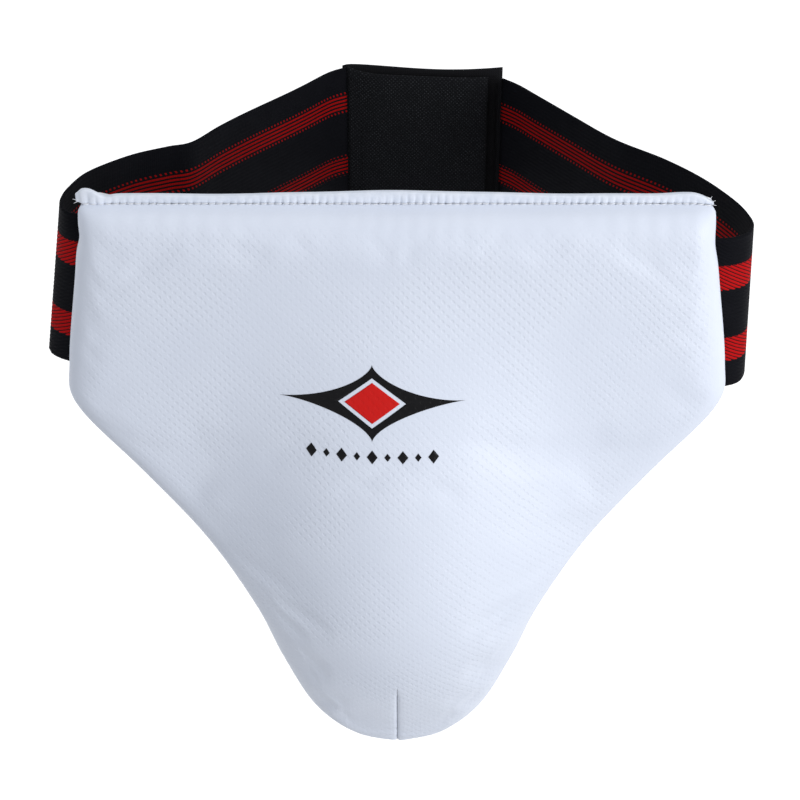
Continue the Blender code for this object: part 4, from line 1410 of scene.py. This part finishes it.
def finish_cad_solids():
    """Finishes of the solids that are shown as the CAD has them."""
    finishes = {
        "foam_core": foam("core_foam", (0.62, 0.64, 0.68), (0.74, 0.76, 0.80)),
        "backing_foam": foam("backing_foam", (0.58, 0.60, 0.64), (0.72, 0.74, 0.78)),
        "cup_rim_cushion": foam("cushion_foam", (0.56, 0.58, 0.62), (0.70, 0.72, 0.76)),
        "hard_cup": moulded_plastic(),
    }
    for node, finish in finishes.items():
        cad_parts[node].data.materials[0] = finish


def build_pad(white_thread, black_thread):
    """Everything that is sewn or printed on the pad; gives back the lining, which the elastics lie on."""
    cover = close_cover(make_cover(embossed_leather()))
    hem = make_hem(folded_leather())
    hem_stitches = make_hem_stitches(white_thread)
    dart_stitches = make_dart_stitches(cover, white_thread)
    back = make_lining(lining_mesh())
    edge_stitches = make_lining_edge_stitches(white_thread)
    black_ink = ink("black_ink", (0.006, 0.006, 0.007), 0.35)
    red_ink = ink("red_ink", (0.62, 0.012, 0.010), 0.35)
    emblem = make_emblem(cover, black_ink, red_ink)

    on_pad = [
        (cover, "embossed_cover", ["front_cover"]),
        (hem, "embossed_cover", ["top_hem"]),
        (hem_stitches, "white_thread", ["hem_stitching"]),
        (make_thread_ends(white_thread), "white_thread", []),
        (dart_stitches, "white_thread", ["dart_stitching"]),
        (back, "lining_cloth", ["back_lining"]),
        (edge_stitches, "white_thread", []),
        *((part, "embossed_cover", []) for part in emblem),
    ]
    for side, name in ((-1, "left"), (1, "right")):
        stitches = make_anchor_stitches(f"{name}_anchor_boxstitch", side, black_thread)
        on_pad.append((stitches, "black_thread", [f"{name}_anchor_stitching"]))
    for piece, slot, nodes in on_pad:
        ride_as(piece, "pad", nodes)
    return back


def build_band():
    """The two elastics, each bent from its seam at the hinge on the pad round to the closure, in place of
    the CAD's straps.
    """
    elastic = striped_elastic()
    left_route = bowed(LEFT_STRAP_ROUTE, LEFT_BOW)
    left_end = (LOOP_TAB_START - GAP, CLOSURE_Y - LOOP_TAB_THICKNESS / 2)
    right_end = (TAIL_HINGE_X + GAP / 2, TAIL_OUTER_FACE - BAND_THICKNESS / 2)
    plans = (  # name, side, turn, route, end, lean, tuck and drop
        ("left", -1, LEFT_TURN, left_route, left_end, LEFT_LEAN, LEFT_TUCK, 0.0),
        ("right", 1, RIGHT_TURN, RIGHT_STRAP_ROUTE, right_end, -RIGHT_LEAN, 0.0, RIGHT_END_DROP),
    )
    bands = []
    for name, side, *shape in plans:
        piece, length = make_elastic(f"{name}_elastic", side, *shape, elastic)
        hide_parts(f"{name}_strap_anchor", f"{name}_strap")
        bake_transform(piece)
        bands.append(piece)
    return bands


def build_closure(black_thread):
    """The loop tab at the left elastic's end, and the tail with its hook tape at the right one's."""
    # the lighter colour of each tape is its painted glint on the tufts' tips
    pile = pile_tape("loop_pile", 0.0021, (0.006, 0.0065, 0.008), (0.060, 0.064, 0.072), 0.0002)
    hooks = pile_tape("hook_tape", 0.0014, (0.004, 0.004, 0.005), (0.020, 0.020, 0.023), 0.0003)
    tab, tab_length = make_loop_tab(pile)
    tail, tail_length = make_tail(plain_webbing())
    tape, tape_length = make_hook_tape(hooks)
    near = CLOSURE_Y - LOOP_TAB_THICKNESS - STITCH_SEAT
    tab_ends = (LOOP_TAB_START + 0.001, LOOP_TAB_START + 2 * STITCH_INSET)
    tab_lines = box_lines(*tab_ends, LOOP_TAB_HEIGHT / 2 - STITCH_INSET, near, (0, -1, 0))
    tab_stitches = make_stitches("loop_tab_boxstitch", tab_lines, black_thread)
    far = TAIL_OUTER_FACE + STITCH_SEAT
    tail_ends = (TAIL_FREE_END + STITCH_INSET, TAIL_HINGE_X - STITCH_INSET)
    tail_lines = box_lines(*tail_ends, TAIL_HEIGHT / 2 - STITCH_INSET, far, (0, 1, 0))
    tail_stitches = make_stitches("hook_patch_boxstitch", tail_lines, black_thread)
    ride_as(tab, "left_band", ["loop_tab"])
    ride_as(tab_stitches, "left_band", ["loop_tab_stitching"])
    ride_as(tail, "closure", ["strap_tail"])
    ride_as(tape, "closure", ["hook_patch"])
    ride_as(tail_stitches, "closure", ["hook_patch_stitching"])


def outline_area(outline):
    x, z = outline.T
    return float(abs((x * np.roll(z, -1) - z * np.roll(x, -1)).sum()) / 2)


def build():
    """The whole guard with its camera, lights and floor."""
    bpy.context.scene.view_settings.view_transform = "Standard"
    make_camera()
    make_studio()
    finish_cad_solids()
    white_thread = thread("white_thread", (0.72, 0.75, 0.82), (0.86, 0.88, 0.92), 0.5, 0.2)
    black_thread = thread("black_thread", (0.003, 0.003, 0.004), (0.010, 0.010, 0.012), 0.05, 0.0)
    back = build_pad(white_thread, black_thread)
    left, right = build_band()
    build_closure(black_thread)
    area = outline_area(pad_outline(PAD_TOP))


build()
